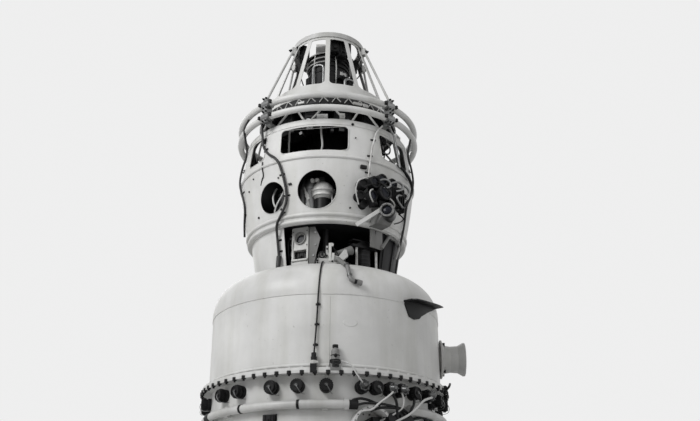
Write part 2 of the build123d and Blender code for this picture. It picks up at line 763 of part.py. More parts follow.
BAY_UNITS = [
    {"azimuth": -39.0, "inset": 102.0, "radius": 52.0, "height": 235.0},
    {"azimuth": 120.0, "inset": 112.0, "radius": 60.0, "height": 240.0},
    {"azimuth": -120.0, "inset": 112.0, "radius": 60.0, "height": 240.0},
    {"azimuth": 180.0, "inset": 122.0, "radius": 74.0, "height": 220.0},
]
UNIT_NECK = 0.6
UNIT_NECK_H = 24.0
with BuildPart() as bay_units:
    for unit in BAY_UNITS:
        reach = BAND_TOP_R - unit["inset"]
        top_z = LOWER_DECK_TOP + unit["height"]
        add(post(reach, unit["azimuth"], LOWER_DECK_TOP, top_z, unit["radius"]))
        add(post(reach, unit["azimuth"], top_z, top_z + UNIT_NECK_H, unit["radius"] * UNIT_NECK))
bay_units.part.label = "porthole_bay_units"
export_step(bay_units.part, "parts/porthole_bay_units.step")

# Instrument cluster standing off the right opening, on its arm

CLUSTER_AZ = 37.5
CLUSTER_Z = BAND_TOP_Z + 122.0
CLUSTER_BACK = WAIST_R - 5.0
CLUSTER_PLATE_T = 8.0
CLUSTER_PLATE_W = 220.0
CLUSTER_PLATE_H = 150.0
CLUSTER_CORNER = 30.0
CLUSTER = [
    {"side": -92.0, "up": 36.0, "radius": 34.0, "length": 40.0},
    {"side": -100.0, "up": -40.0, "radius": 30.0, "length": 30.0},
    {"side": -44.0, "up": 62.0, "radius": 33.0, "length": 46.0},
    {"side": -34.0, "up": -12.0, "radius": 43.0, "length": 54.0},
    {"side": 38.0, "up": 66.0, "radius": 30.0, "length": 34.0},
    {"side": 17.0, "up": -57.0, "radius": 18.0, "length": 20.0},
]
CLUSTER_BOX_SIDE = 62.0
CLUSTER_BOX_UP = -4.0
CLUSTER_BOX = 112.0
CLUSTER_BOX_D = 40.0
CLUSTER_ARM_W = 60.0

with BuildPart() as cluster:
    add(slab(
        wall_plane(CLUSTER_BACK, CLUSTER_AZ, CLUSTER_Z),
        CLUSTER_PLATE_W, CLUSTER_PLATE_H, CLUSTER_PLATE_T, CLUSTER_CORNER,
    ))
    for eye in CLUSTER:
        add(barrel(
            wall_plane(CLUSTER_BACK, CLUSTER_AZ, CLUSTER_Z + eye["up"], eye["side"]),
            eye["radius"], eye["length"],
        ))
    add(slab(
        wall_plane(CLUSTER_BACK, CLUSTER_AZ, CLUSTER_Z + CLUSTER_BOX_UP, CLUSTER_BOX_SIDE),
        CLUSTER_BOX, CLUSTER_BOX, CLUSTER_BOX_D, CLUSTER_PLATE_T,
    ))
cluster.part.label = "instrument_cluster"
export_step(cluster.part, "parts/instrument_cluster.step")

with BuildPart() as cluster_mount:
    add(slab(
        wall_plane(CORE_R / 2, CLUSTER_AZ, CLUSTER_Z),
        CLUSTER_ARM_W, CLUSTER_ARM_W, CLUSTER_BACK - CORE_R / 2, CLUSTER_PLATE_T,
    ))
    add(core.part, mode=Mode.SUBTRACT)
cluster_mount.part.label = "cluster_arm"
export_step(cluster_mount.part, "parts/cluster_arm.step")

# Barrel sensor outside the band, turned to the front in its wedge bracket

SENSOR_AZ = 36.5
SENSOR_AIM = -12.0
SENSOR_REACH = BAND_TOP_R + 90.0
SENSOR_Z = BAND_FOOT_Z + 59.0
SENSOR_BARREL_R = 38.0
SENSOR_L = 84.0
SENSOR_COLLAR = 4.0
LENS_DEPTH = 10.0
BRACKET_W = 88.0
BRACKET_T = 5.0

aim = math.radians(SENSOR_AIM)
sensor_plane = Plane(
    origin=polar(SENSOR_REACH, SENSOR_AZ, SENSOR_Z),
    x_dir=(math.cos(aim), math.sin(aim), 0),
    z_dir=(math.sin(aim), -math.cos(aim), 0),
)
sensor_envelope = barrel(sensor_plane, SENSOR_BARREL_R + SENSOR_COLLAR, SENSOR_L, centred=True)

with BuildPart() as sensor:
    add(barrel(sensor_plane, SENSOR_BARREL_R, SENSOR_L, centred=True))
    add(barrel(sensor_plane, SENSOR_BARREL_R + SENSOR_COLLAR, SENSOR_L / 2, centred=True))
    add(
        barrel(sensor_plane.offset(SENSOR_L / 2 - LENS_DEPTH), SENSOR_BARREL_R * 0.7, LENS_DEPTH),
        mode=Mode.SUBTRACT,
    )
sensor.part.label = "barrel_sensor"
export_step(sensor.part, "parts/barrel_sensor.step")

with BuildPart() as sensor_bracket:
    add(plate(section_plane(SENSOR_AZ), [
        (BAND_FOOT_R - BAND_WALL / 2, BAND_FOOT_Z + 2), (BAND_FOOT_R + 66, BAND_FOOT_Z + 4),
        (BAND_FOOT_R + 116, BAND_FOOT_Z + 40), (BAND_FOOT_R + 110, BAND_FOOT_Z + 76),
        (BAND_FOOT_R + 44, BAND_TOP_Z + 44), (BAND_FOOT_R, BAND_TOP_Z + 44),
    ], BRACKET_W / 2, both=True))
    add(plate(section_plane(SENSOR_AZ), [
        (BAND_FOOT_R - BAND_WALL, BAND_FOOT_Z + 2 + BRACKET_T),
        (BAND_FOOT_R + 64, BAND_FOOT_Z + 4 + BRACKET_T),
        (BAND_FOOT_R + 110, BAND_FOOT_Z + 40 + BRACKET_T), (BAND_FOOT_R + 140, BAND_TOP_Z + 60),
        (BAND_FOOT_R - BAND_WALL, BAND_TOP_Z + 60),
    ], BRACKET_W / 2 - BRACKET_T, both=True), mode=Mode.SUBTRACT)
    add(sensor_envelope, mode=Mode.SUBTRACT)
    add(turned([
        (0, BAND_FOOT_Z), (BAND_FOOT_R, BAND_FOOT_Z), (BAND_TOP_R, BAND_TOP_Z),
        (WAIST_R, WAIST_Z), (0, WAIST_Z),
    ]), mode=Mode.SUBTRACT)
    add(porthole_shell.part, mode=Mode.SUBTRACT)
    add(band.part, mode=Mode.SUBTRACT)
sensor_bracket.part.label = "sensor_bracket"
export_step(sensor_bracket.part, "parts/sensor_bracket.step")

# Braces under the cluster, hung from the band

BRACE_R = 9.0
BRACE_IN = 6.0
BRACE_Z = CROWN_Z + 122.0
BRACE_PLATE_T = 10.0
BRACE_POST_W = 30.0
BRACE_POST_AZ = 35.0
BRACE_FIN_AZ = 41.5
BRACE_FIN_W = 46.0
BRACE_RODS = [
    {"top": 54.0, "foot": 43.0, "rise": 0.0},
    {"top": 56.0, "foot": 72.0, "rise": 62.0},
]
BRACE_REACH = BAND_FOOT_R - BRACE_IN

with BuildPart() as braces:
    brace_h = BAND_FOOT_Z - BRACE_Z
    brace_mid = BAND_FOOT_Z - brace_h / 2
    add(slab(
        wall_plane(BRACE_REACH - BRACE_PLATE_T, BRACE_POST_AZ, brace_mid),
        BRACE_POST_W, brace_h, BRACE_PLATE_T, BRACE_PLATE_T / 3,
    ))
    add(plate(wall_plane(BRACE_REACH - BRACE_PLATE_T, BRACE_FIN_AZ, BRACE_Z), [
        (-BRACE_FIN_W * 0.8, 0), (BRACE_FIN_W * 0.3, 0), (BRACE_FIN_W / 2, brace_h * 0.4),
        (BRACE_FIN_W / 2, brace_h), (-BRACE_FIN_W / 2, brace_h), (-BRACE_FIN_W * 0.8, brace_h * 0.3),
    ], BRACE_PLATE_T / 2))
    for brace in BRACE_RODS:
        add(rod(
            polar(BRACE_REACH, brace["top"], BAND_FOOT_Z + BRACE_R),
            polar(BRACE_REACH, brace["foot"], BRACE_Z + brace["rise"] + BRACE_R), BRACE_R,
        ))
    add(slab(
        wall_plane(BRACE_REACH - BRACE_PLATE_T, 55, BAND_FOOT_Z - BRACE_R), 60, 2 * BRACE_R, BRACE_PLATE_T,
    ))
    with Locations((0, 0, BAND_FOOT_Z + BAND_H / 2)):
        Cylinder(WAIST_R, BAND_H, mode=Mode.SUBTRACT)
braces.part.label = "bay_braces"
export_step(braces.part, "parts/bay_braces.step")

# Equipment in the open bay

BAY_ROOF = BAND_FOOT_Z + LOWER_DECK_UP - DECK_T / 2
LENS_AZ = -23.0
LENS_BOX_W = 96.0
LENS_BOX_H = 238.0
LENS_BOX_D = 112.0
LENS_BOX_FACE = LOW_SHELL_FOOT_R - 24.0
LENS_UP = 175.0
LENS_R = 27.5
LENS_HOOD_R = 32.0
NICHE_UP = 84.0
NICHE_W = 74.0
NICHE_H = 52.0
NICHE_D = 46.0

with BuildPart() as lens_box:
    add(slab(
        wall_plane(LENS_BOX_FACE - LENS_BOX_D, LENS_AZ, CROWN_Z + LENS_BOX_H / 2),
        LENS_BOX_W, LENS_BOX_H, LENS_BOX_D, LENS_HOOD_R / 4,
    ))
    add(barrel(wall_plane(LENS_BOX_FACE - LENS_R, LENS_AZ, CROWN_Z + LENS_UP), LENS_HOOD_R, LENS_HOOD_R))
    add(
        barrel(wall_plane(LENS_BOX_FACE - LENS_R, LENS_AZ, CROWN_Z + LENS_UP), LENS_R, 2 * LENS_R),
        mode=Mode.SUBTRACT,
    )
    add(
        slab(
            wall_plane(LENS_BOX_FACE - NICHE_D, LENS_AZ, CROWN_Z + NICHE_UP),
            NICHE_W, NICHE_H, 2 * NICHE_D,
        ),
        mode=Mode.SUBTRACT,
    )
    add(slab(
        wall_plane(LENS_BOX_FACE - LENS_HOOD_R / 4, LENS_AZ, CROWN_Z + NICHE_UP - NICHE_H / 2 - 5),
        LENS_BOX_W - 6, 9, LENS_HOOD_R / 2,
    ))
lens_box.part.label = "lens_box"
export_step(lens_box.part, "parts/lens_box.step")

BENT_AZ = -9.5
BENT_R = CROWN_R - 12.0
BENT_T = 5.0
BENT_W = 58.0
BENT_RETURN = 44.0

with BuildPart() as bent_bracket:
    bent_plane = wall_plane(BENT_R - BENT_T, BENT_AZ, CROWN_Z)
    add(plate(bent_plane, [
        (-BENT_W / 2, 0), (-BENT_W / 8, 0), (BENT_W / 2, BAY_H * 0.72),
        (0, BAY_H), (-BENT_W / 2, BAY_H),
    ], BENT_T))
    add(slab(
        wall_plane(BENT_R - BENT_RETURN, BENT_AZ, CROWN_Z + BAY_H / 2, -BENT_W / 2 + BENT_T / 2),
        BENT_T, BAY_H, BENT_RETURN,
    ))
bent_bracket.part.label = "bent_bracket"
export_step(bent_bracket.part, "parts/bent_bracket.step")

POSTS = [
    {"azimuth": 24.5, "inset": 10.0, "radius": 7.0, "top": 122.0},
    {"azimuth": 44.0, "inset": 10.0, "radius": 7.0, "top": 122.0},
    {"azimuth": -1.0, "inset": 110.0, "radius": 16.0, "top": 244.0},
    {"azimuth": -44.0, "inset": 120.0, "radius": 16.0, "top": 244.0},
]
with BuildPart() as posts:
    for mast in POSTS:
        add(post(
            CROWN_R - mast["inset"], mast["azimuth"], CROWN_Z,
            min(CROWN_Z + mast["top"], BAY_ROOF), mast["radius"],
        ))
posts.part.label = "bay_posts"
export_step(posts.part, "parts/bay_posts.step")

PANEL_FROM = 47.0
PANEL_TO = 97.0
PANEL_IN = 14.0
PANEL_T = 4.0
PANEL_STRIPS = (51.0, 64.0, 80.0, 94.0)
STRIP_W = 20.0
STRIP_T = 6.0

with BuildPart() as bay_panel:
    add(turned([
        (CROWN_R - PANEL_IN - PANEL_T, CROWN_Z), (CROWN_R - PANEL_IN, CROWN_Z),
        (BAND_FOOT_R - BAND_WALL - PANEL_T, BAY_ROOF), (BAND_FOOT_R - BAND_WALL - 2 * PANEL_T, BAY_ROOF),
    ], PANEL_FROM, PANEL_TO - PANEL_FROM))
    for azimuth in PANEL_STRIPS:
        with BuildSketch(section_plane(azimuth)):
            with BuildLine():
                Polyline(
                    (CROWN_R - PANEL_IN - PANEL_T / 2, CROWN_Z), (CROWN_R - PANEL_IN + STRIP_T, CROWN_Z),
                    (BAND_FOOT_R - BAND_WALL - PANEL_T / 2, BAND_FOOT_Z - STRIP_T),
                    (BAND_FOOT_R - BAND_WALL - PANEL_T, BAND_FOOT_Z - STRIP_T), close=True,
                )
            make_face()
        extrude(amount=STRIP_W / 2, both=True)
    add(braces.part, mode=Mode.SUBTRACT)
bay_panel.part.label = "bay_inner_panel"
export_step(bay_panel.part, "parts/bay_inner_panel.step")

UNIT_AZ = 34.0
UNIT_R = 36.0
UNIT_IN = 40.0
SHELF_W = 150.0
SHELF_D = 96.0
SHELF_T = 14.0
SHELF_RIDGE = 40.0

with BuildPart() as bay_unit:
    add(post(CROWN_R - UNIT_IN, UNIT_AZ, CROWN_Z, CROWN_Z + POSTS[0]["top"], UNIT_R))
    add(slab(
        wall_plane(CROWN_R - SHELF_D, UNIT_AZ - 3, CROWN_Z + POSTS[0]["top"] + SHELF_T / 2),
        SHELF_W, SHELF_T, SHELF_D,
    ))
    add(plate(wall_plane(CROWN_R - SHELF_D / 2, UNIT_AZ - 3, CROWN_Z + POSTS[0]["top"] + SHELF_T), [
        (-SHELF_W * 0.38, 0), (SHELF_W * 0.44, 0), (SHELF_W * 0.44, SHELF_RIDGE / 2),
        (SHELF_W * 0.1, SHELF_RIDGE),
    ], SHELF_D / 3))
bay_unit.part.label = "bay_black_unit"
export_step(bay_unit.part, "parts/bay_black_unit.step")

# Shoulder fitting with its roller, fork and stay

FIT_R = CROWN_R + 32.0
FIT_BASE_W = 104.0
FIT_BASE_H = 22.0
FIT_BASE_D = 52.0
ROLLER_R = 20.0
ROLLER_W = 34.0
ROLLER_SIDE = -22.0
ROLLER_UP = 44.0
FORK_SIDE = 2.0
FORK_W = 11.0
FORK_H = 96.0
FORK_D = 26.0

with BuildPart() as fitting:
    add(slab(
        wall_plane(FIT_R - FIT_BASE_D / 2, 0, CROWN_Z + FIT_BASE_H / 4),
        FIT_BASE_W, 1.5 * FIT_BASE_H, FIT_BASE_D, 4,
    ))
    add(barrel(wall_plane(FIT_R - ROLLER_W / 2, 0, CROWN_Z + ROLLER_UP, ROLLER_SIDE), ROLLER_R, ROLLER_W))
    add(barrel(
        wall_plane(FIT_R - ROLLER_W / 2, 0, CROWN_Z + ROLLER_UP, ROLLER_SIDE), ROLLER_R / 3, ROLLER_W + 12,
    ))
    add(slab(
        wall_plane(FIT_R - FORK_D / 2, 0, CROWN_Z + FIT_BASE_H / 2, ROLLER_SIDE),
        ROLLER_R, 2 * FIT_BASE_H, FORK_D,
    ))
    add(slab(
        wall_plane(FIT_R - FORK_D / 2, 0, CROWN_Z + FORK_H / 2, FORK_SIDE), FORK_W, FORK_H, FORK_D, 3,
    ))
    add(rod(
        tuple(wall_plane(FIT_R, 0, CROWN_Z + 50, FORK_SIDE).origin),
        tuple(wall_plane(FIT_R, 0, CROWN_Z + 26, 62).origin), 15,
    ))
    add(plate(wall_plane(FIT_R - FORK_D / 2, 0, CROWN_Z), [
        (44, 4), (70, 8), (112, 44), (104, 78), (92, 80), (62, 40), (44, 40),
    ], FORK_D * 0.7))
    add(drum_envelope, mode=Mode.SUBTRACT)
fitting.part.label = "shoulder_fitting"
export_step(fitting.part, "parts/shoulder_fitting.step")

# Bent pipe hanging from the fitting over the shoulder, with its dark end piece

HOOK_TUBE_R = 11.0
HOOK_END_R = 14.0
HOOK = [
    {"azimuth": 5.0, "radius": FIT_R + 6, "height": CROWN_Z + 14},
    {"azimuth": 7.2, "radius": FIT_R + 52, "height": CROWN_Z + 11},
    {"azimuth": 10.0, "radius": CYL_R - 14, "height": SHOULDER_Z + 150},
    {"azimuth": 10.7, "radius": CYL_R + 8, "height": SHOULDER_Z + 91},
    {"azimuth": 11.2, "radius": CYL_R + 16, "height": SHOULDER_Z + 69},
    {"azimuth": 13.7, "radius": CYL_R + 18, "height": SHOULDER_Z + 62},
]
HOOK_END_AZ = 16.0
HOOK_END_DROP = 6.0

with BuildPart() as hook:
    hook_points = [polar(row["radius"], row["azimuth"], row["height"]) for row in HOOK]
    add(tube(hook_points, HOOK_TUBE_R, 14))
    add(rod(
        hook_points[-1],
        polar(HOOK[-1]["radius"], HOOK_END_AZ, HOOK[-1]["height"] - HOOK_END_DROP), HOOK_END_R,
    ))
    add(fitting.part, mode=Mode.SUBTRACT)
    add(cylinder.part, mode=Mode.SUBTRACT)
hook.part.label = "hook_pipe"
export_step(hook.part, "parts/hook_pipe.step")

# Thin rod down the front, from the fitting to its foot on the flange

ROD_R = 4.0
ROD_FOOT_R = 15.0
ROD_FOOT_H = 66.0
ROD_CLEAR = 5.0
ROD_FOOT_LIP = 10.0
ROD = [
    {"azimuth": -2.2, "radius": SHOULDER_END_R - 20, "height": CROWN_Z + 4},
    {"azimuth": -2.4, "radius": SHOULDER_MID_R - 30, "height": SHOULDER_MID_Z + 42},
    {"azimuth": -2.9, "radius": SHOULDER_MID_R + 32, "height": SHOULDER_MID_Z - 30},
    {"azimuth": -3.4, "radius": CYL_R + ROD_CLEAR + ROD_R, "height": SHOULDER_Z + 20},
    {"azimuth": -4.0, "radius": CYL_R + ROD_CLEAR + ROD_R, "height": FLANGE_Z + 250},
    {"azimuth": -4.9, "radius": CYL_R + FOOT_BEAD_R + ROD_CLEAR + ROD_R, "height": FLANGE_TOP_Z + ROD_FOOT_H},
]

with BuildPart() as front_rod:
    rod_points = [polar(row["radius"], row["azimuth"], row["height"]) for row in ROD]
    add(tube(rod_points, ROD_R, eased_bends(rod_points)))
    foot_reach = CYL_R + FOOT_BEAD_R + ROD_FOOT_R
    add(post(foot_reach, ROD[-1]["azimuth"], FLANGE_TOP_Z, FLANGE_TOP_Z + ROD_FOOT_H * 0.4, ROD_FOOT_R * 0.8))
    add(post(
        foot_reach, ROD[-1]["azimuth"], FLANGE_TOP_Z + ROD_FOOT_H * 0.35,
        FLANGE_TOP_Z + ROD_FOOT_H, ROD_FOOT_R * 0.6,
    ))
    add(post(
        foot_reach, ROD[-1]["azimuth"], FLANGE_TOP_Z + ROD_FOOT_H * 0.7,
        FLANGE_TOP_Z + ROD_FOOT_H + ROD_R, ROD_FOOT_R * 0.8,
    ))
    add(plate(section_plane(ROD[-1]["azimuth"]), [
        (foot_reach, FLANGE_TOP_Z), (FLANGE_R, FLANGE_TOP_Z), (FLANGE_R, FLANGE_Z),
        (FLANGE_R + ROD_FOOT_LIP, FLANGE_Z), (FLANGE_R + ROD_FOOT_LIP, FLANGE_TOP_Z + ROD_FOOT_R),
        (foot_reach, FLANGE_TOP_Z + ROD_FOOT_R),
    ], ROD_FOOT_R, both=True))
    add(cylinder.part, mode=Mode.SUBTRACT)
    add(fitting.part, mode=Mode.SUBTRACT)
front_rod.part.label = "front_rod"
export_step(front_rod.part, "parts/front_rod.step")

# Hood near the right shoulder, open below

HOOD_AZ = 54.0
HOOD_OUT = 50.0
HOOD_WALL = 7.0
HOOD_SINK = 70.0
HOOD_OPEN = 80.0
HOOD_ROOF = [
    {"along": -157.0, "rise": 408.0},
    {"along": -116.0, "rise": 416.0},
    {"along": 2.0, "rise": 425.0},
    {"along": 189.0, "rise": 450.0},
]
HOOD_FOOT = [
    {"along": 45.0, "rise": 388.0},
    {"along": -25.0, "rise": 350.0},
    {"along": -43.0, "rise": 333.0},
    {"along": -81.0, "rise": 322.0},
    {"along": -123.0, "rise": 329.0},
    {"along": -150.0, "rise": 384.0},
]

hood_plane = wall_plane(CYL_R - HOOD_SINK, HOOD_AZ, FLANGE_Z)
hood_under = [(row["along"], row["rise"] - HOOD_WALL) for row in HOOD_ROOF]
hood_floor = HOOD_FOOT[-3]["rise"] - HOOD_OPEN

with BuildPart() as hood_hollow:
    add(plate(
        hood_plane,
        hood_under + [(HOOD_ROOF[-1]["along"], hood_floor), (HOOD_ROOF[0]["along"], hood_floor)],
        HOOD_SINK + 2 * HOOD_OUT,
    ))
    add(drum_solid(-HOOD_WALL), mode=Mode.SUBTRACT)

with BuildPart() as hood:
    add(plate(
        hood_plane, [(row["along"], row["rise"]) for row in HOOD_ROOF + HOOD_FOOT],
        HOOD_SINK + 2 * HOOD_OUT,
    ))
    add(hood_hollow.part, mode=Mode.SUBTRACT)
    add(turned([
        (CYL_R + HOOD_OUT, FLANGE_Z), (CYL_R + 4 * HOOD_OUT, FLANGE_Z),
        (CYL_R + 4 * HOOD_OUT, CROWN_Z), (CYL_R + HOOD_OUT, CROWN_Z),
    ]), mode=Mode.SUBTRACT)
    add(cylinder.part, mode=Mode.SUBTRACT)
    add(drum_envelope, mode=Mode.SUBTRACT)
hood.part.label = "black_hood"
export_step(hood.part, "parts/black_hood.step")

# Side horn, turned about its own axis

HORN_AZ = 88.0
HORN_Z = FLANGE_Z + 215.0
HORN_NECK_R = 66.0
HORN_WALL = 4.0
HORN_BASE_R = 104.0
HORN_L = 134.0
HORN_MOUTH_R = 86.0

with BuildPart() as horn:
    horn_plane = wall_plane(0, HORN_AZ, HORN_Z)
    with BuildSketch(Plane(origin=horn_plane.origin, x_dir=horn_plane.z_dir, z_dir=horn_plane.x_dir)):
        with BuildLine():
            Polyline(
                (CYL_R - 54, HORN_NECK_R), (CYL_R + 6, HORN_NECK_R), (CYL_R + 6, HORN_BASE_R),
                (CYL_R + 14, HORN_BASE_R), (CYL_R + 26, HORN_NECK_R + 10),
                (CYL_R + 0.45 * HORN_L, HORN_NECK_R + HORN_WALL),
                (CYL_R + 0.75 * HORN_L, HORN_NECK_R + HORN_WALL + 3),
                (CYL_R + HORN_L - HORN_WALL, HORN_MOUTH_R + HORN_WALL), (CYL_R + HORN_L, HORN_MOUTH_R),
                (CYL_R + 0.77 * HORN_L, HORN_NECK_R), (CYL_R + 0.45 * HORN_L, HORN_NECK_R - HORN_WALL),
                (CYL_R + 0.3 * HORN_L, HORN_NECK_R - HORN_WALL), (CYL_R + 0.3 * HORN_L, 0),
                (CYL_R - 54, 0), close=True,
            )
        make_face()
    revolve(axis=Axis(horn_plane.origin, horn_plane.z_dir))
    add(drum_envelope, mode=Mode.SUBTRACT)
horn.part.label = "side_horn"
export_step(horn.part, "parts/side_horn.step")

# Valve on the flange

VALVE_AZ = 4.2
VALVE_BASE_R = 25.0
VALVE_BASE_H = 36.0
VALVE_BODY_R = 20.0
VALVE_BODY_H = 40.0
VALVE_KNOB_R = 8.0
VALVE_LIP = 6.0
VALVE_REACH = CYL_R + 20.0
VALVE_MID_Z = FLANGE_TOP_Z + VALVE_BASE_H + VALVE_BODY_H

with BuildPart() as valve:
    add(post(VALVE_REACH, VALVE_AZ, FLANGE_TOP_Z, FLANGE_TOP_Z + VALVE_BASE_H, VALVE_BASE_R))
    add(post(VALVE_REACH, VALVE_AZ, FLANGE_TOP_Z, VALVE_MID_Z, VALVE_BODY_R))
    with Locations(polar(VALVE_REACH, VALVE_AZ, VALVE_MID_Z)):
        Sphere(VALVE_BODY_R)
    add(post(VALVE_REACH, VALVE_AZ, VALVE_MID_Z, VALVE_MID_Z + VALVE_BODY_R + 12, VALVE_KNOB_R))
    add(plate(section_plane(VALVE_AZ), [
        (VALVE_REACH, FLANGE_TOP_Z), (FLANGE_R, FLANGE_TOP_Z), (FLANGE_R, JOINT_Z),
        (FLANGE_R + VALVE_LIP, JOINT_Z), (FLANGE_R + VALVE_LIP, FLANGE_TOP_Z + VALVE_BASE_H / 3),
        (VALVE_REACH, FLANGE_TOP_Z + VALVE_BASE_H),
    ], VALVE_BASE_R, both=True))
    add(cylinder.part, mode=Mode.SUBTRACT)
    add(drum_envelope, mode=Mode.SUBTRACT)
valve.part.label = "flange_valve"
export_step(valve.part, "parts/flange_valve.step")

# Round connectors under the flange

CONNECTOR_R = 28.0
CONNECTOR_OUT = 46.0
CONNECTOR_NUT_R = 32.0
CONNECTOR_NUT_L = 16.0
CONNECTOR_Z = FLANGE_Z - 55.0
CONNECTOR_FACE = SKIRT_R + CONNECTOR_OUT
CONNECTOR_AZ = (
    0.5, 16.3, 22.9, 29.5, 35.2, 44.0, 53.0, 66.0, 78.0, 102.0, 126.0, 138.0, 150.0,
    180.0, 192.0, 222.0, 234.0, 246.0, 270.0, 282.0, 306.0, 318.0, 336.0, 348.0,
)
with BuildPart() as connectors:
    for azimuth in CONNECTOR_AZ:
        seat = wall_plane(SKIRT_R - CONNECTOR_OUT, azimuth, CONNECTOR_Z)
        add(barrel(seat, CONNECTOR_R, 2 * CONNECTOR_OUT))
        add(barrel(seat, CONNECTOR_NUT_R, CONNECTOR_OUT + CONNECTOR_NUT_L))
    with Locations((0, 0, CONNECTOR_Z)):
        Cylinder(SKIRT_R, 4 * CONNECTOR_R, mode=Mode.SUBTRACT)
connectors.part.label = "round_connectors"
export_step(connectors.part, "parts/round_connectors.step")

# Manifold pipe round the skirt, open between its two end collars

PIPE_R = 20.0
PIPE_Z = FLANGE_Z - 141.0
PIPE_GAP = 6.0
PIPE_FROM = 40.0
PIPE_TURN = 330.0
PIPE_COLLAR = 6.0
PIPE_COLLAR_TURN = 2.0
PIPE_SADDLES = (60, 110, 160, 210, 260, 310, 0)
SADDLE_W = 26.0
SADDLE_INTO = 6.0
PIPE_RING_R = SKIRT_R + PIPE_R + PIPE_GAP

with BuildPart() as manifold:
    add(hoop(PIPE_RING_R, PIPE_Z, PIPE_R, PIPE_FROM, PIPE_TURN))
    for start in (PIPE_FROM, PIPE_FROM + PIPE_TURN - PIPE_COLLAR_TURN):
        add(hoop(PIPE_RING_R, PIPE_Z, PIPE_R + PIPE_COLLAR - 1, start, PIPE_COLLAR_TURN))
    for azimuth in PIPE_SADDLES:
        add(slab(
            wall_plane(SKIRT_R - SADDLE_INTO, azimuth, PIPE_Z),
            SADDLE_W, 2 * PIPE_R + 2 * PIPE_COLLAR, SADDLE_INTO + PIPE_GAP + PIPE_R,
        ))
    with Locations((0, 0, PIPE_Z)):
        Cylinder(SKIRT_R, 6 * PIPE_R, mode=Mode.SUBTRACT)
manifold.part.label = "manifold_pipe"
export_step(manifold.part, "parts/manifold_pipe.step")

# Service port rims and the gear inside

PORT_FLOOR_T = 6.0
GEAR_R = 38.0
GEAR_T = 14.0
GEAR_HUB_R = 17.0
GEAR_TEETH = 12
GEAR_TOOTH = 9.0
GEAR_BOX_W = 46.0
GEAR_BOX_D = 42.0
GEAR_CAN_R = 22.0
GEAR_CAN_L = 48.0
HANDLE_R = 5.0
HOSE_R = 6.0
HOSE = [
    (11.5, FLANGE_Z - 150, SKIRT_R + 30), (16.0, FLANGE_Z - 136, SKIRT_R + 52),
    (23.0, FLANGE_Z - 134, SKIRT_R + 58), (30.0, FLANGE_Z - 140, SKIRT_R + 54),
    (35.5, FLANGE_Z - 146, SKIRT_R + 40), (39.0, FLANGE_Z - 165, SKIRT_R - 2),
]

with BuildPart() as port_rims:
    for port in PORTS:
        seat = wall_plane(SKIRT_R - PORT_SEAT, port["azimuth"], FLANGE_Z - port["drop"])
        add(barrel(seat, port["radius"], PORT_SEAT + PORT_RIM_OUT))
        add(barrel(seat, port["radius"] - PORT_RIM_W, PORT_SEAT + PORT_RIM_OUT), mode=Mode.SUBTRACT)
        add(barrel(seat, port["radius"], PORT_FLOOR_T))
port_rims.part.label = "service_port_rims"
export_step(port_rims.part, "parts/service_port_rims.step")

with BuildPart() as port_gear:
    for port in PORTS:
        gear_z = FLANGE_Z - port["drop"]
        floor = SKIRT_R - PORT_SEAT + PORT_FLOOR_T
        add(barrel(wall_plane(floor, port["azimuth"], gear_z), GEAR_HUB_R, 2 * GEAR_T))
        with BuildSketch(wall_plane(floor, port["azimuth"], gear_z)):
            Circle(GEAR_R)
            with PolarLocations(GEAR_R, GEAR_TEETH):
                Rectangle(GEAR_TOOTH, GEAR_TOOTH)
        extrude(amount=GEAR_T)
        add(slab(
            wall_plane(floor, port["azimuth"], gear_z + GEAR_R, GEAR_R), GEAR_BOX_W, GEAR_BOX_W, GEAR_BOX_D,
        ))
        add(barrel(
            wall_plane(floor, port["azimuth"], gear_z - GEAR_R / 2, GEAR_R), GEAR_CAN_R, GEAR_CAN_L,
        ))
        handle = [
            tuple(wall_plane(floor + out, port["azimuth"], gear_z + up, side).origin)
            for side, up, out in (
                (-60, 18, 0), (-60, 18, GEAR_CAN_L), (8, 52, GEAR_CAN_L), (8, 52, 0),
            )
        ]
        add(tube(handle, HANDLE_R, 3 * HANDLE_R))
    hose = [polar(reach, azimuth, height) for azimuth, height, reach in HOSE]
    add(tube(hose, HOSE_R, eased_bends(hose)))
    for seat in (skirt, port_rims, connectors, manifold):
        add(seat.part, mode=Mode.SUBTRACT)
port_gear.part.label = "service_port_gear"
export_step(port_gear.part, "parts/service_port_gear.step")

# Leads from the connectors into the service port and down from the valve

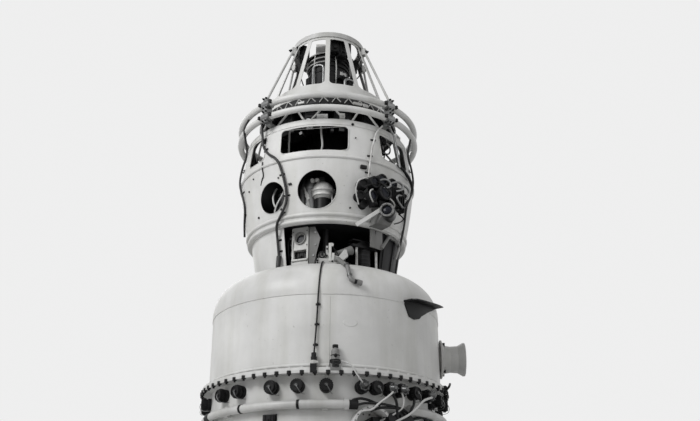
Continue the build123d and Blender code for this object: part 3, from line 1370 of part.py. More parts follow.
LEADS = [
    {"radius": 3.5, "run": [
        (5.2, FLANGE_TOP_Z + 34, VALVE_REACH + 2), (8.2, FLANGE_TOP_Z + 28, FLANGE_R),
        (10.6, FLANGE_TOP_Z + 12, FLANGE_R + 12), (13.0, FLANGE_Z - 14, FLANGE_R + 20),
        (15.4, CONNECTOR_Z + 10, FLANGE_R + 14), (16.2, CONNECTOR_Z, CONNECTOR_FACE - 4),
    ]},
    {"radius": 4.5, "run": [
        (29.4, CONNECTOR_Z - 6, CONNECTOR_FACE - 4), (29.0, CONNECTOR_Z - 20, CONNECTOR_FACE + 18),
        (25.5, FLANGE_Z - 106, CONNECTOR_FACE + 26), (22.3, FLANGE_Z - 132, CONNECTOR_FACE + 26),
        (19.2, FLANGE_Z - 168, CONNECTOR_FACE + 16), (15.6, FLANGE_Z - 170, CONNECTOR_FACE + 2),
        (13.4, FLANGE_Z - 196, SKIRT_R - PORT_SEAT + PORT_FLOOR_T),
    ]},
    {"radius": 4.0, "run": [
        (34.2, CONNECTOR_Z - 8, CONNECTOR_FACE - 4), (33.6, CONNECTOR_Z - 22, CONNECTOR_FACE + 14),
        (34.2, FLANGE_Z - 110, CONNECTOR_FACE + 20), (33.6, FLANGE_Z - 146, CONNECTOR_FACE + 16),
        (29.0, FLANGE_Z - 182, CONNECTOR_FACE), (24.0, FLANGE_Z - 214, SKIRT_R - PORT_SEAT + PORT_FLOOR_T),
    ]},
    {"radius": 5.5, "run": [
        (53.0, CONNECTOR_Z - 2, CONNECTOR_FACE - 4), (52.4, CONNECTOR_Z - 10, CONNECTOR_FACE + 18),
        (45.1, FLANGE_Z - 92, CONNECTOR_FACE + 26), (41.0, FLANGE_Z - 134, CONNECTOR_FACE + 26),
        (37.0, FLANGE_Z - 172, CONNECTOR_FACE + 18), (30.0, FLANGE_Z - 214, CONNECTOR_FACE),
        (25.5, FLANGE_Z - 240, SKIRT_R - PORT_SEAT + PORT_FLOOR_T),
    ]},
]

with BuildPart() as leads:
    for lead in LEADS:
        route = [polar(reach, azimuth, height) for azimuth, height, reach in lead["run"]]
        add(tube(route, lead["radius"], eased_bends(route)))
    for seat in (connectors, valve, port_rims, port_gear, manifold, upper_flange, lower_flange):
        add(seat.part, mode=Mode.SUBTRACT)
leads.part.label = "skirt_leads"
export_step(leads.part, "parts/skirt_leads.step")

# Cables clipped to the outside of the upper body

CABLES = [
    {"radius": 7.0, "run": [
        (-46.5, HOOP_LOW_Z - HOOP_TUBE_R, HOOP_R - 6), (-46.0, WAIST_Z + 130, RIM_R + 27),
        (-41.0, WAIST_Z + 70, WAIST_R + 4), (-31.5, WAIST_Z + 6, WAIST_R + 17),
        (-28.3, BAND_TOP_Z + 218, WAIST_R + 5), (-26.6, BAND_TOP_Z + 130, WAIST_R - 12),
        (-26.6, BAND_TOP_Z + 70, WAIST_R - 24), (-29.6, BAND_TOP_Z + 16, BAND_TOP_R + 20),
        (-35.6, BAND_FOOT_Z + 8, BAND_TOP_R + 10), (-37.6, BAND_FOOT_Z - 40, LOW_SHELL_TOP_R + 8),
        (-37.6, CROWN_Z + 74, LOW_SHELL_FOOT_R + 26),
    ]},
    {"radius": 5.0, "run": [
        (38.0, RIM_Z + 4, HOOP_R - HOOP_TUBE_R - 6), (33.5, RIM_Z - 44, RIM_R + 14),
        (30.6, WAIST_Z + 140, HIGH_BOW_R + 12), (28.0, WAIST_Z + 66, WAIST_R + 9),
        (26.4, WAIST_Z - 22, WAIST_R + 12), (25.6, CLUSTER_Z + 62, WAIST_R + 4),
    ]},
    {"radius": 6.0, "run": [
        (-61.5, HOOP_HIGH_Z - HOOP_TUBE_R, HOOP_R + 1), (-63.0, HOOP_LOW_Z + 6, HOOP_R + HOOP_TUBE_R + 7),
        (-71.0, RIM_Z - 60, RIM_R + 14), (-75.0, WAIST_Z + 90, WAIST_R + 8),
        (-77.0, WAIST_Z + 4, WAIST_R + 16), (-72.5, WAIST_Z - 84, WAIST_R + 2),
        (-70.5, BAND_TOP_Z + 140, WAIST_R - 14), (-79.0, BAND_TOP_Z + 66, WAIST_R - 26),
        (-84.0, BAND_TOP_Z + 6, BAND_TOP_R + 16),
    ]},
    {"radius": 6.0, "run": [
        (69.0, HOOP_LOW_Z - HOOP_TUBE_R, HOOP_R - 4), (70.5, RIM_Z - 60, RIM_R + 16),
        (72.0, WAIST_Z + 90, WAIST_R + 8), (72.6, WAIST_Z, WAIST_R + 16),
        (69.0, WAIST_Z - 92, WAIST_R + 2), (65.5, BAND_TOP_Z + 140, WAIST_R - 14),
        (66.6, BAND_TOP_Z + 56, WAIST_R - 28), (64.0, BAND_TOP_Z - 12, BAND_TOP_R + 17),
        (66.0, BAND_FOOT_Z - 30, BAND_FOOT_R + 6), (70.0, BAND_FOOT_Z - 92, LOW_SHELL_FOOT_R + 22),
    ]},
]
PLUG_L = 62.0
PLUG_R = 13.0

with BuildPart() as cables:
    for cable in CABLES:
        route = [polar(reach, azimuth, height) for azimuth, height, reach in cable["run"]]
        add(tube(route, cable["radius"], eased_bends(route)))
    azimuth, height, reach = CABLES[0]["run"][-1]
    add(rod(polar(reach, azimuth, height), polar(reach + 4, azimuth, height - PLUG_L), PLUG_R))
    for seat in (high_hoop, low_hoop, clamps, waist_bead, cluster):
        add(seat.part, mode=Mode.SUBTRACT)
    add(drum_envelope, mode=Mode.SUBTRACT)
cables.part.label = "body_cables"
export_step(cables.part, "parts/body_cables.step")
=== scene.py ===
import math
from typing import NamedTuple

import bmesh
import bpy
from bpy.props import FloatProperty, FloatVectorProperty, IntProperty, PointerProperty
from mathutils import Matrix, Vector


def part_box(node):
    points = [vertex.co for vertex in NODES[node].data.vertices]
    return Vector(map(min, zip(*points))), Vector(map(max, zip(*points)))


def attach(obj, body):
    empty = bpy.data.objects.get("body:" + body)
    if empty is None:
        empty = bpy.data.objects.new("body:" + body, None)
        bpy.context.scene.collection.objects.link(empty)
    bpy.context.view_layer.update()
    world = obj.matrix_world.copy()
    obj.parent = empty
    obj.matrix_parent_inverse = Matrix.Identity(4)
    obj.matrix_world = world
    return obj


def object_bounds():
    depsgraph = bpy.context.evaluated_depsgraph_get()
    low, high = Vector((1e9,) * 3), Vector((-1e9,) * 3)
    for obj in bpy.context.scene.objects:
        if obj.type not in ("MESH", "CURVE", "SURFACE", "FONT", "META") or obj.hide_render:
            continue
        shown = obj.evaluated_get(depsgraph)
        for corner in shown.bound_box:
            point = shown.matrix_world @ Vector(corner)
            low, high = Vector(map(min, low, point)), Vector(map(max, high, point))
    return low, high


bl_info = {
    "name": "Space capsule dressing",
    "version": (1, 0, 0),
    "blender": (4, 5, 0),
    "location": "3D View > Sidebar > Capsule",
    "description": "Dresses the packed capsule with finishes, fasteners, leads and small instruments",
    "category": "Object",
}

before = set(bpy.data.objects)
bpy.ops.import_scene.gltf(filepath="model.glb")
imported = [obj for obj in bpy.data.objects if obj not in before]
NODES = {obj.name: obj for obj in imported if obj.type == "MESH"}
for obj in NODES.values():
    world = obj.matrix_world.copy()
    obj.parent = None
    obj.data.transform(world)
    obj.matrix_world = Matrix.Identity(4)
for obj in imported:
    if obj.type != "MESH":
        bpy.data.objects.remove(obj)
CAD_LOW, CAD_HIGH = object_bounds()

# Places are polar: metres from the capsule's axis, degrees from the front towards +X, metres up.
FOOT_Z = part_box("lower_flange")[0].z
TOP_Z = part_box("upper_flange")[1].z
FLANGE_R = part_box("upper_flange")[1].x
CYL_R = 0.614
SKIRT_R = 0.600
SUNK = 0.001  # how deep the foot of a small part sits in its wall
CONNECTOR_Z = FOOT_Z - 0.055
CONNECTOR_FACE = SKIRT_R + 0.046
CONNECTOR_AZ = (
    0.5, 16.3, 22.9, 29.5, 35.2, 44.0, 53.0, 66.0, 78.0, 102.0, 126.0, 138.0, 150.0,
    180.0, 192.0, 222.0, 234.0, 246.0, 270.0, 282.0, 306.0, 318.0, 336.0, 348.0,
)
PLUGGED_AZ = (16.3, 29.5, 35.2, 53.0, 192.0, 222.0, 234.0)
PORTS = ((21.0, FOOT_Z - 0.245), (-150.0, FOOT_Z - 0.292))  # azimuth, height
PORTHOLES = (  # azimuth, height, radius
    (-6.7, 1.978, 0.106), (-39.0, 1.970, 0.088), (40.0, 1.988, 0.100),
    (120.0, 1.978, 0.088), (-120.0, 1.978, 0.088), (180.0, 1.978, 0.106),
)
WINDOWS = (  # azimuth, width
    (-9.2, 0.374), (-53.0, 0.146), (50.0, 0.236), (120.0, 0.300), (-110.0, 0.236), (180.0, 0.236),
)
WINDOW_Z, WINDOW_H, WINDOW_CORNER = 2.278, 0.158, 0.026
CLAMP_AZ = (-41.0, 41.0, 139.0, -139.0)
STRUT_TOP_AZ = (-66.0, 66.0, 114.0, -114.0)
DECK_UNIT_STEP = 30
DECK_UNIT_AZ = tuple(range(-75, 286, DECK_UNIT_STEP))
HULL = (  # height and outer radius of the upper body, from its foot up
    (1.575, 0.386), (1.802, 0.424), (1.803, 0.437), (1.86, 0.452), (1.90, 0.4625), (2.01, 0.4815),
    (2.10, 0.494), (2.16, 0.501), (2.22, 0.499), (2.30, 0.489), (2.369, 0.475), (2.403, 0.472),
)
HEX = 6  # sides of a screw or nut
CAP = 0.003  # height of a screw's head


# Places

TURNED_OVER = Matrix.Rotation(math.pi, 4, "X")


def polar(radius, azimuth, height):
    """The point at a polar place."""
    a = math.radians(azimuth)
    return Vector((radius * math.sin(a), -radius * math.cos(a), height))


def shift(x, y, z):
    return Matrix.Translation((x, y, z))


def spun(degrees):
    """A turn round a frame's Z."""
    return Matrix.Rotation(math.radians(degrees), 4, "Z")


def upright(radius, azimuth, height):
    """A frame that stands upright at a polar place, its X along the capsule's X."""
    return Matrix.Translation(polar(radius, azimuth, height))


def stand_frame(point, azimuth):
    """A frame at a point: X along the wall that faces azimuth, Y up, Z outwards."""
    a = math.radians(azimuth)
    out = Vector((math.sin(a), -math.cos(a), 0))
    along = Vector((math.cos(a), math.sin(a), 0))
    turn = Matrix((along, Vector((0, 0, 1)), out)).transposed().to_4x4()
    return Matrix.Translation(point) @ turn


def wall_frame(radius, azimuth, height):
    """A frame on a round wall: X along it, Y up, Z outwards."""
    return stand_frame(polar(radius, azimuth, height), azimuth)


def span_frame(start, end):
    """A frame at start whose Z runs to end, and how far that is."""
    way = end - start
    return Matrix.Translation(start) @ way.to_track_quat("Z", "Y").to_matrix().to_4x4(), way.length


def hull_radius(height):
    """The upper body's outer radius at a height."""
    for (low, foot), (high, top) in zip(HULL, HULL[1:]):
        if height <= high:
            return foot + (top - foot) * max(0.0, height - low) / (high - low)
    return HULL[-1][1]


def hull_frame(azimuth, height, lift=-SUNK):
    """A frame on the upper body, lifted off its outer face."""
    return wall_frame(hull_radius(height) + lift, azimuth, height)


def arc_line(radius, height, start, end, step=2.0):
    """Points along a level arc, as (radius, azimuth, height)."""
    count = max(2, round(abs(end - start) / step))
    return [(radius, start + (end - start) * k / count, height) for k in range(count + 1)]


def opening_edge(azimuth, middle, half_width, half_height, corner, lift, count=8):
    """The edge of a rounded opening cut straight through the hull, as polar points."""
    points = []
    for turn in range(4 * count):
        a = math.tau * turn / (4 * count)
        side = 1 if math.cos(a) > 0 else -1
        up = 1 if math.sin(a) > 0 else -1
        x = side * (half_width - corner) + corner * math.cos(a)
        z = middle + up * (half_height - corner) + corner * math.sin(a)
        radius = hull_radius(z) + lift
        points.append((radius, azimuth + math.degrees(math.asin(x / radius)), z))
    return points


# Pieces and the forms they are made of

def add_piece(name, data, finish):
    """Links a piece, gives it its finish and lets it ride on the capsule."""
    piece = bpy.data.objects.new(name, data)
    bpy.context.scene.collection.objects.link(piece)
    data.materials.append(bpy.data.materials[finish])
    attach(piece, "root")
    return piece


def new_piece(name, bm, finish, bevel=0.0):
    """Makes a piece of a bmesh, with soft edges as wide as bevel."""
    bmesh.ops.remove_doubles(bm, verts=bm.verts, dist=1e-6)
    bmesh.ops.recalc_face_normals(bm, faces=bm.faces)
    mesh = bpy.data.meshes.new(name)
    bm.to_mesh(mesh)
    bm.free()
    mesh.shade_smooth()
    mesh.set_sharp_from_angle(angle=math.radians(38))
    piece = add_piece(name, mesh, finish)
    if bevel:
        soft = piece.modifiers.new("soft edges", "BEVEL")
        soft.width = bevel
        soft.segments = 2
        soft.limit_method = "ANGLE"


def leads(name, lines, radius, finish, closed=False):
    """Clipped leads: one smooth line through each row of (radius, azimuth, height)."""
    curve = bpy.data.curves.new(name, "CURVE")
    curve.dimensions = "3D"
    curve.bevel_depth = radius
    curve.bevel_resolution = 2
    curve.use_fill_caps = True
    for points in lines:
        line = curve.splines.new("NURBS")
        line.points.add(len(points) - 1)
        for knot, point in zip(line.points, points):
            knot.co = (*polar(*point), 1)
        line.order_u = 3
        line.use_cyclic_u = closed
        line.use_endpoint_u = not closed
        line.resolution_u = 6
    add_piece(name, curve, finish)


def add_disc(bm, place, radius, depth, segments=24, top=None):
    """A capped drum on the frame's Z, from 0 to depth, narrowed to a top radius if one is given."""
    bmesh.ops.create_cone(
        bm, cap_ends=True, segments=segments, radius1=radius,
        radius2=radius if top is None else top, depth=depth, matrix=place @ shift(0, 0, depth / 2),
    )


def add_block(bm, place, width, height, depth):
    """A block with its foot on the frame's Z = 0."""
    bmesh.ops.create_cube(
        bm, size=1.0, matrix=place @ shift(0, 0, depth / 2) @ Matrix.Diagonal((width, height, depth, 1)),
    )


def add_turned(bm, place, points, segments=48):
    """Spins an outline of (radius, height) round the frame's Z."""
    verts = [bm.verts.new(place @ Vector((r, 0, z))) for r, z in points]
    edges = [bm.edges.new(pair) for pair in zip(verts, verts[1:])]
    bmesh.ops.spin(
        bm, geom=verts + edges, cent=place.translation, axis=place.to_3x3() @ Vector((0, 0, 1)),
        angle=math.tau, steps=segments, use_merge=True,
    )


def add_ring(bm, place, outer, inner, depth, segments=32):
    """A flat ring with its foot on the frame's Z = 0."""
    add_turned(bm, place, [(inner, 0), (outer, 0), (outer, depth), (inner, depth), (inner, 0)], segments)


def add_circle_of(bm, place, radius, count, size, depth, phase=0.0):
    """Hexagon heads on a circle round the frame's Z."""
    for step in range(count):
        a = math.radians(phase + step * 360 / count)
        spot = shift(radius * math.cos(a), radius * math.sin(a), 0)
        add_disc(bm, place @ spot, size, depth, HEX)


def add_heads(bm, place, sides, rises, lift, size, depth=CAP):
    """Hexagon heads in rows and columns across the frame, lifted off its foot."""
    for side in sides:
        for rise in rises:
            add_disc(bm, place @ shift(side, rise, lift), size, depth, HEX)


def add_unit(bm, place, width, height, depth):
    """An instrument box: foot flange with screws, body, ribbed lid and a round connector."""
    lid = depth * 0.86
    add_block(bm, place, width * 1.14, height * 1.14, 0.003)
    add_block(bm, place, width, height, lid)
    add_block(bm, place @ shift(0, 0, lid), width * 0.9, height * 0.9, depth * 0.14)
    across, up = width * 0.53, height * 0.53
    add_heads(bm, place, (-across, across), (-up, up), 0.003, 0.0035)
    for side in (-0.24, 0.24):
        add_block(bm, place @ shift(side * width, 0, depth), width * 0.06, height * 0.8, 0.004)
    size = min(width, height)
    plug = place @ shift(0, -height * 0.2, depth)
    add_disc(bm, plug, size * 0.16, 0.010, 16)
    add_ring(bm, plug, size * 0.20, size * 0.15, 0.005, 16)


class Bit(NamedTuple):
    """A small form on a wall: where its foot is, then its sizes."""
    form: str
    azimuth: float
    height: float
    radius: float
    width: float
    tall: float
    out: float


FORMS = {  # a disc's width and tall are its foot and top radius, a ring's its outer and inner radius
    "block": lambda bm, at, bit: add_block(bm, at, bit.width, bit.tall, bit.out),
    "disc": lambda bm, at, bit: add_disc(bm, at, bit.width, bit.out, 20, bit.tall),
    "hex": lambda bm, at, bit: add_disc(bm, at, bit.width, bit.out, HEX),
    "ring": lambda bm, at, bit: add_ring(bm, at, bit.width, bit.tall, bit.out),
    "unit": lambda bm, at, bit: add_unit(bm, at, bit.width, bit.tall, bit.out),
}


def add_bits(bm, bits):
    for bit in bits:
        FORMS[bit.form](bm, wall_frame(bit.radius, bit.azimuth, bit.height), bit)


def bit_piece(name, bits, finish, bevel=0.0):
    bm = bmesh.new()
    add_bits(bm, bits)
    new_piece(name, bm, finish, bevel)


# Finishes

def scaled(colour, factor):
    return tuple(channel * factor for channel in colour)


class Graph:
    """A node tree and short calls for the nodes that go into it."""

    def __init__(self, tree):
        self.nodes = tree.nodes
        self.links = tree.links

    def add(self, kind, inputs, **settings):
        """A new node with its settings and inputs, each a value or another node's output."""
        node = self.nodes.new("ShaderNode" + kind)
        for key, value in settings.items():
            setattr(node, key, value)
        for key, value in inputs.items():
            self.put(node.inputs[key], value)
        return node

    def put(self, socket, value):
        if isinstance(value, bpy.types.NodeSocket):
            self.links.new(value, socket)
        else:
            socket.default_value = value

    def mapped(self, scale=(1, 1, 1)):
        """The coordinate node and its object coordinates, through a mapping of their own."""
        place = self.add("TexCoord", {})
        turn = self.add("Mapping", {"Scale": scale, "Vector": place.outputs["Object"]})
        return place, turn.outputs["Vector"]

    def noise(self, scale, detail, stretch=(1, 1, 1), rough=0.55):
        """Noise on object coordinates; a stretch under 1 draws it out along that axis."""
        _, place = self.mapped(stretch)
        inputs = {"Scale": scale, "Detail": detail, "Roughness": rough, "Vector": place}
        return self.add("TexNoise", inputs).outputs["Fac"]

    def stepped(self, value, low, high, dark, light):
        """Two colours between two levels of a value."""
        ramp = self.add("ValToRGB", {"Fac": value})
        for stop, level, colour in zip(ramp.color_ramp.elements, (low, high), (dark, light)):
            stop.position = level
            stop.color = (*colour, 1)
        return ramp.outputs["Color"]

    def blended(self, kind, amount, first, second):
        inputs = {"Factor": amount, "A": first, "B": second}
        return self.add("Mix", inputs, data_type="RGBA", blend_type=kind).outputs["Result"]

    def spanned(self, value, low, high, to_low, to_high):
        inputs = {"From Min": low, "From Max": high, "To Min": to_low, "To Max": to_high, "Value": value}
        return self.add("MapRange", inputs).outputs["Result"]

    def maths(self, operation, first, second):
        """One sum of two values, such as MULTIPLY."""
        return self.add("Math", {0: first, 1: second}, operation=operation).outputs["Value"]

    def outward(self):
        """How far a face looks away from the capsule's axis: below zero on a shell's inner side."""
        place, level = self.mapped((1, 1, 0))
        inputs = {0: level, 1: place.outputs["Normal"]}
        return self.add("VectorMath", inputs, operation="DOT_PRODUCT").outputs["Value"]


class Finish(Graph):
    """A new material and its shader."""

    def __init__(self, name):
        self.material = bpy.data.materials.new(name)
        self.material.use_nodes = True
        super().__init__(self.material.node_tree)
        self.shader = self.nodes["Principled BSDF"]

    def set(self, **inputs):
        """Sets the shader's own inputs, named with underscores for spaces."""
        for key, value in inputs.items():
            self.put(self.shader.inputs[key.replace("_", " ")], value)

    def rough_and_bump(self, fine, coarse, rough_low, rough_high, strength, depth):
        """Sheen that wanders with the coarse value and bumps that follow the fine one."""
        bump = self.add("Bump", {"Strength": strength, "Distance": depth, "Height": fine})
        self.set(
            Roughness=self.spanned(coarse, 0, 1, rough_low, rough_high), Normal=bump.outputs["Normal"],
        )


def enamel(name, colour, grime=0.82, coat=0.25, inner_shade=None):
    """Aged enamel: broad mottling, runs down the wall, small chips, uneven sheen and painted shade on inner
    faces.
    """
    finish = Finish(name)
    broad = finish.noise(3.2, 5)
    runs = finish.noise(9.0, 4, (1, 1, 0.09))
    specks = finish.noise(60, 8, rough=0.7)
    base = finish.stepped(broad, 0.36, 0.66, scaled(colour, grime), colour)
    streak = finish.stepped(runs, 0.38, 0.56, scaled((1, 1, 0.98), grime + 0.08), (1, 1, 1))
    chip = finish.stepped(specks, 0.30, 0.36, (0.45, 0.44, 0.42), (1, 1, 1))
    result = finish.blended("MULTIPLY", 0.7, finish.blended("MULTIPLY", 1.0, base, streak), chip)
    # Painted shade: faces turned towards the axis, on a shell's inner side, are darkened to inner_shade.
    if inner_shade is not None:
        side = finish.spanned(finish.outward(), -0.12, -0.05, 0, 1)
        shade = finish.stepped(side, 0, 1, (inner_shade, inner_shade, inner_shade), (1, 1, 1))
        result = finish.blended("MULTIPLY", 1.0, result, shade)
    finish.set(Base_Color=result, Coat_Weight=coat, Coat_Roughness=0.35, Specular_IOR_Level=0.35)
    finish.rough_and_bump(specks, broad, 0.38, 0.6, 0.18, 0.0012)
    return finish.material


def metal(name, colour):
    """Handled bare metal: fine scratches across a cloudy sheen."""
    finish = Finish(name)
    cloud = finish.noise(14, 5)
    scratch = finish.noise(90, 6, (1, 1, 0.08), 0.7)
    base = finish.stepped(cloud, 0.35, 0.68, scaled(colour, 0.72), colour)
    finish.set(Base_Color=base, Metallic=1.0)
    finish.rough_and_bump(scratch, cloud, 0.28, 0.5, 0.12, 0.0008)
    return finish.material


def dark_enamel(name, colour, worn):
    """Black enamel rubbed pale in spots, with dust in the sheen."""
    finish = Finish(name)
    broad = finish.noise(7, 5)
    rubbed = finish.noise(34, 9, rough=0.72)
    base = finish.stepped(broad, 0.35, 0.7, scaled(colour, 0.6), scaled(colour, 1.3))
    mask = finish.stepped(rubbed, 0.64, 0.72, (0, 0, 0), (worn, worn, worn))
    finish.set(Base_Color=finish.blended("ADD", 1.0, base, mask), Specular_IOR_Level=0.22)
    finish.rough_and_bump(rubbed, broad, 0.36, 0.62, 0.15, 0.001)
    return finish.material


def two_sleeves(name, dark, pale, low, high):
    """Two paints: pale between two distances to the right of the axis, dark elsewhere."""
    finish = Finish(name)
    _, place = finish.mapped()
    across = finish.add("SeparateXYZ", {"Vector": place}).outputs["X"]
    over = finish.spanned(across, low, low + 0.01, 0, 1)
    under = finish.spanned(across, high, high + 0.01, 1, 0)
    soil = finish.noise(30, 6)
    base = finish.stepped(finish.maths("MULTIPLY", over, under), 0.4, 0.6, dark, pale)
    dirt = finish.stepped(soil, 0.35, 0.65, (0.62, 0.61, 0.6), (1, 1, 1))
    finish.set(Base_Color=finish.blended("MULTIPLY", 1.0, base, dirt))
    finish.rough_and_bump(soil, soil, 0.4, 0.65, 0.2, 0.0008)
    return finish.material


def glass_dark(name):
    """Coated lens glass: near black with a cool sheen and a film of dust."""
    finish = Finish(name)
    film = finish.noise(26, 4)
    base = finish.stepped(film, 0.4, 0.7, (0.006, 0.007, 0.01), (0.03, 0.032, 0.045))
    finish.set(Base_Color=base, Specular_IOR_Level=0.12)
    finish.rough_and_bump(film, film, 0.1, 0.3, 0.02, 0.0004)
    return finish.material


# Settings

def colour_setting(name, description, default):
    return FloatVectorProperty(
        name=name, description=description, subtype="COLOR", size=3, min=0, max=1, default=default,
    )


class CapsuleFinish(bpy.types.PropertyGroup):
    """Colours of the capsule's finishes"""
    white: colour_setting("White enamel", "Colour of the shells, flanges and cage", (0.68, 0.68, 0.67))
    black: colour_setting(
        "Black enamel", "Colour of the drum, hood and instruments", (0.007, 0.007, 0.0075),
    )
    grey: colour_setting("Bare metal", "Colour of decks, fittings and brackets", (0.26, 0.263, 0.263))
    # How dark the painted shade on the shells' inner sides is: 0 is black, 1 is no shade.
    inner_shade: FloatProperty(
        name="Inner shade", description="How bright the shells are on their inner side",
        subtype="FACTOR", default=0.06, min=0, max=1,
    )


class CapsuleFasteners(bpy.types.PropertyGroup):
    """Count and sizes of the bolts, nuts and screws"""
    flange_bolts: IntProperty(
        name="Flange bolts", description="Number of bolts round the flange", default=66, min=12, max=120,
    )
    bolt_phase: FloatProperty(
        name="First bolt", description="Where the first flange bolt sits", subtype="ANGLE",
        unit="ROTATION", default=math.radians(1.2),
    )
    nut_radius: FloatProperty(
        name="Nut radius", description="Corner radius of the flange nuts", subtype="DISTANCE",
        unit="LENGTH", default=0.011, min=0.004, max=0.02,
    )
    screw_radius: FloatProperty(
        name="Screw radius", description="Corner radius of the small screws", subtype="DISTANCE",
        unit="LENGTH", default=0.0042, min=0.002, max=0.01,
    )


class CapsuleStage(bpy.types.PropertyGroup):
    """Camera and floor"""
    camera_place: FloatVectorProperty(
        name="Camera place", description="Where the picture is taken from",
        subtype="TRANSLATION", unit="LENGTH", size=3, default=(0.0015, -4.725, 0.04),
    )
    camera_pitch: FloatProperty(
        name="Camera pitch", description="Tilt above the horizon", subtype="ANGLE",
        unit="ROTATION", default=math.radians(23.12),
    )
    camera_yaw: FloatProperty(
        name="Camera yaw", description="Turn towards +X", subtype="ANGLE",
        unit="ROTATION", default=math.radians(1.60),
    )
    lens: FloatProperty(
        name="Lens", description="Focal length in millimetres on a 36 mm sensor", default=45.4, min=10,
    )
    floor_grey: colour_setting("Floor", "Colour of the plain floor", (0.72, 0.72, 0.72))


# Steps

class CAPSULE_OT_finishes(bpy.types.Operator):
    """Makes the finishes and gives them to the CAD nodes"""
    bl_idname = "capsule.finishes"
    bl_label = "Finishes"

    def execute(self, context):
        colours = context.scene.capsule_finish
        white, black, grey = (tuple(c) for c in (colours.white, colours.black, colours.grey))
        made = {
            "white": enamel("white enamel", white),
            # The shell, cage and skirt enamels paint shade on their inner sides; the cage's painted shade
            # is lighter.
            "shell": enamel("shell enamel", white, inner_shade=colours.inner_shade),
            "cage": enamel("cage enamel", white, inner_shade=0.3),
            "pale": enamel("pale enamel", scaled(white, 0.82), 0.78),
            "skirt": enamel("skirt enamel", scaled(white, 0.93), 0.8, inner_shade=colours.inner_shade),
            "black": dark_enamel("black enamel", black, 0.05),
            "dark": dark_enamel("dark enamel", scaled(black, 2.2), 0.07),
            "grey": enamel("grey enamel", scaled(white, 0.33), 0.66, 0.1),
            "metal": metal("bare metal", grey),
            "steel": metal("dark steel", scaled(grey, 0.42)),
            "rubber": dark_enamel("rubber", scaled(black, 0.9), 0.02),
            "sleeve": enamel("pale sleeve", scaled(white, 0.86), 0.74, 0.0),
            "cables": two_sleeves("cable sleeves", scaled(black, 0.9), scaled(white, 0.9), 0.12, 0.40),
            "posts": two_sleeves("post paint", scaled(black, 1.5), scaled(white, 0.95), 0.10, 0.45),
            "lens": glass_dark("lens glass"),
        }
        finish_of = {
            "shell": ("window_shell", "porthole_shell", "lower_shell", "shell_rim", "beaded_band"),
            "cage": ("cage_cone",),
            "posts": ("bay_posts",),
            "grey": (
                "bent_bracket", "hook_pipe", "sensor_bracket", "bay_braces", "cluster_arm", "flange_valve",
            ),
            "pale": (
                "cage_truss", "outer_struts", "cage_top_ring", "lens_box", "manifold_pipe",
                "side_horn", "skirt_leads", "spherical_bottle", "shoulder_fitting", "cage_top_units",
            ),
            "skirt": (
                "instrument_skirt", "base_ring", "lower_bulkhead", "lower_flange", "service_port_rims",
            ),
            "black": (
                "black_hood", "cage_drum", "bay_black_unit", "front_rod", "deck_units",
                "porthole_bay_units", "service_port_gear", "instrument_cluster", "round_connectors",
                "bottle_stand", "core_column",
            ),
            "cables": ("body_cables",),
            "dark": ("bay_inner_panel", "lower_deck", "middle_deck", "cage_deck"),
            "metal": ("hoop_clamps", "cage_pipe_loops"),
            "steel": ("barrel_sensor",),
        }
        chosen = {node: key for key, names in finish_of.items() for node in names}
        for name, node in NODES.items():
            node.data.materials.clear()
            node.data.materials.append(made[chosen.get(name, "white")])
        return {"FINISHED"}


class CAPSULE_OT_flange_bolts(bpy.types.Operator):
    """Sets the ring of bolts and nuts on the flange"""
    bl_idname = "capsule.flange_bolts"
    bl_label = "Flange bolts"

    def execute(self, context):
        settings = context.scene.capsule_fasteners
        size = settings.nut_radius
        head_circle, nut_circle = FLANGE_R - 0.014, FLANGE_R - 0.003
        nut_seat = FOOT_Z + 0.0115
        heads, nuts = bmesh.new(), bmesh.new()
        for step in range(settings.flange_bolts):
            azimuth = math.degrees(settings.bolt_phase) + step * 360 / settings.flange_bolts
            add_disc(heads, upright(head_circle, azimuth, TOP_Z), size * 0.8, size * 0.7, HEX)
            under = upright(nut_circle, azimuth, nut_seat) @ TURNED_OVER
            add_disc(nuts, under, size, 0.016, 12)
            add_disc(nuts, under, size * 0.5, 0.024, 8)
        new_piece("flange_bolt_heads", heads, "pale enamel")
        new_piece("flange_nuts", nuts, "black enamel")
        return {"FINISHED"}


class CAPSULE_OT_connectors(bpy.types.Operator):
    """Dresses the round connectors: coupling rings, bosses, plugs and lanyards"""
    bl_idname = "capsule.connectors"
    bl_label = "Connectors"

    def execute(self, context):
        teeth, sleeve = 18, 0.0315
        rings, plugs = bmesh.new(), bmesh.new()
        lanyards = []
        for azimuth in CONNECTOR_AZ:
            face = wall_frame(CONNECTOR_FACE, azimuth, CONNECTOR_Z)
            back = face @ shift(0, 0, -0.020)
            add_ring(rings, back, sleeve, 0.0275, 0.015, 24)
            for step in range(teeth):
                tooth = spun(step * 360 / teeth) @ shift(sleeve + 0.0002, 0, 0)
                add_block(rings, back @ tooth, 0.003, 0.004, 0.013)
            add_ring(rings, face, 0.027, 0.0225, 0.004, 24)
            if azimuth in PLUGGED_AZ:
                add_disc(plugs, face, 0.0235, 0.014, 20)
                add_disc(plugs, face @ shift(0, 0, 0.014), 0.019, 0.018, 20, 0.009)
                add_circle_of(plugs, face @ shift(0, 0, 0.010), 0.0235, 8, 0.004, 0.008)
                continue
            add_disc(plugs, face, 0.007, 0.006, 12)
            add_block(plugs, face @ shift(0, 0, 0.006), 0.018, 0.004, 0.003)
            lanyards.append([
                (CONNECTOR_FACE + 0.007, azimuth, CONNECTOR_Z),
                (CONNECTOR_FACE + 0.016, azimuth + 0.8, CONNECTOR_Z - 0.016),
                (CONNECTOR_FACE - 0.004, azimuth + 2.2, CONNECTOR_Z - 0.043),
                (SKIRT_R - 0.002, azimuth + 2.9, CONNECTOR_Z - 0.034),
            ])
        new_piece("connector_rings", rings, "black enamel")
        new_piece("connector_plugs", plugs, "dark steel", 0.0008)
        leads("connector_lanyards", lanyards, 0.0014, "bare metal")
        return {"FINISHED"}


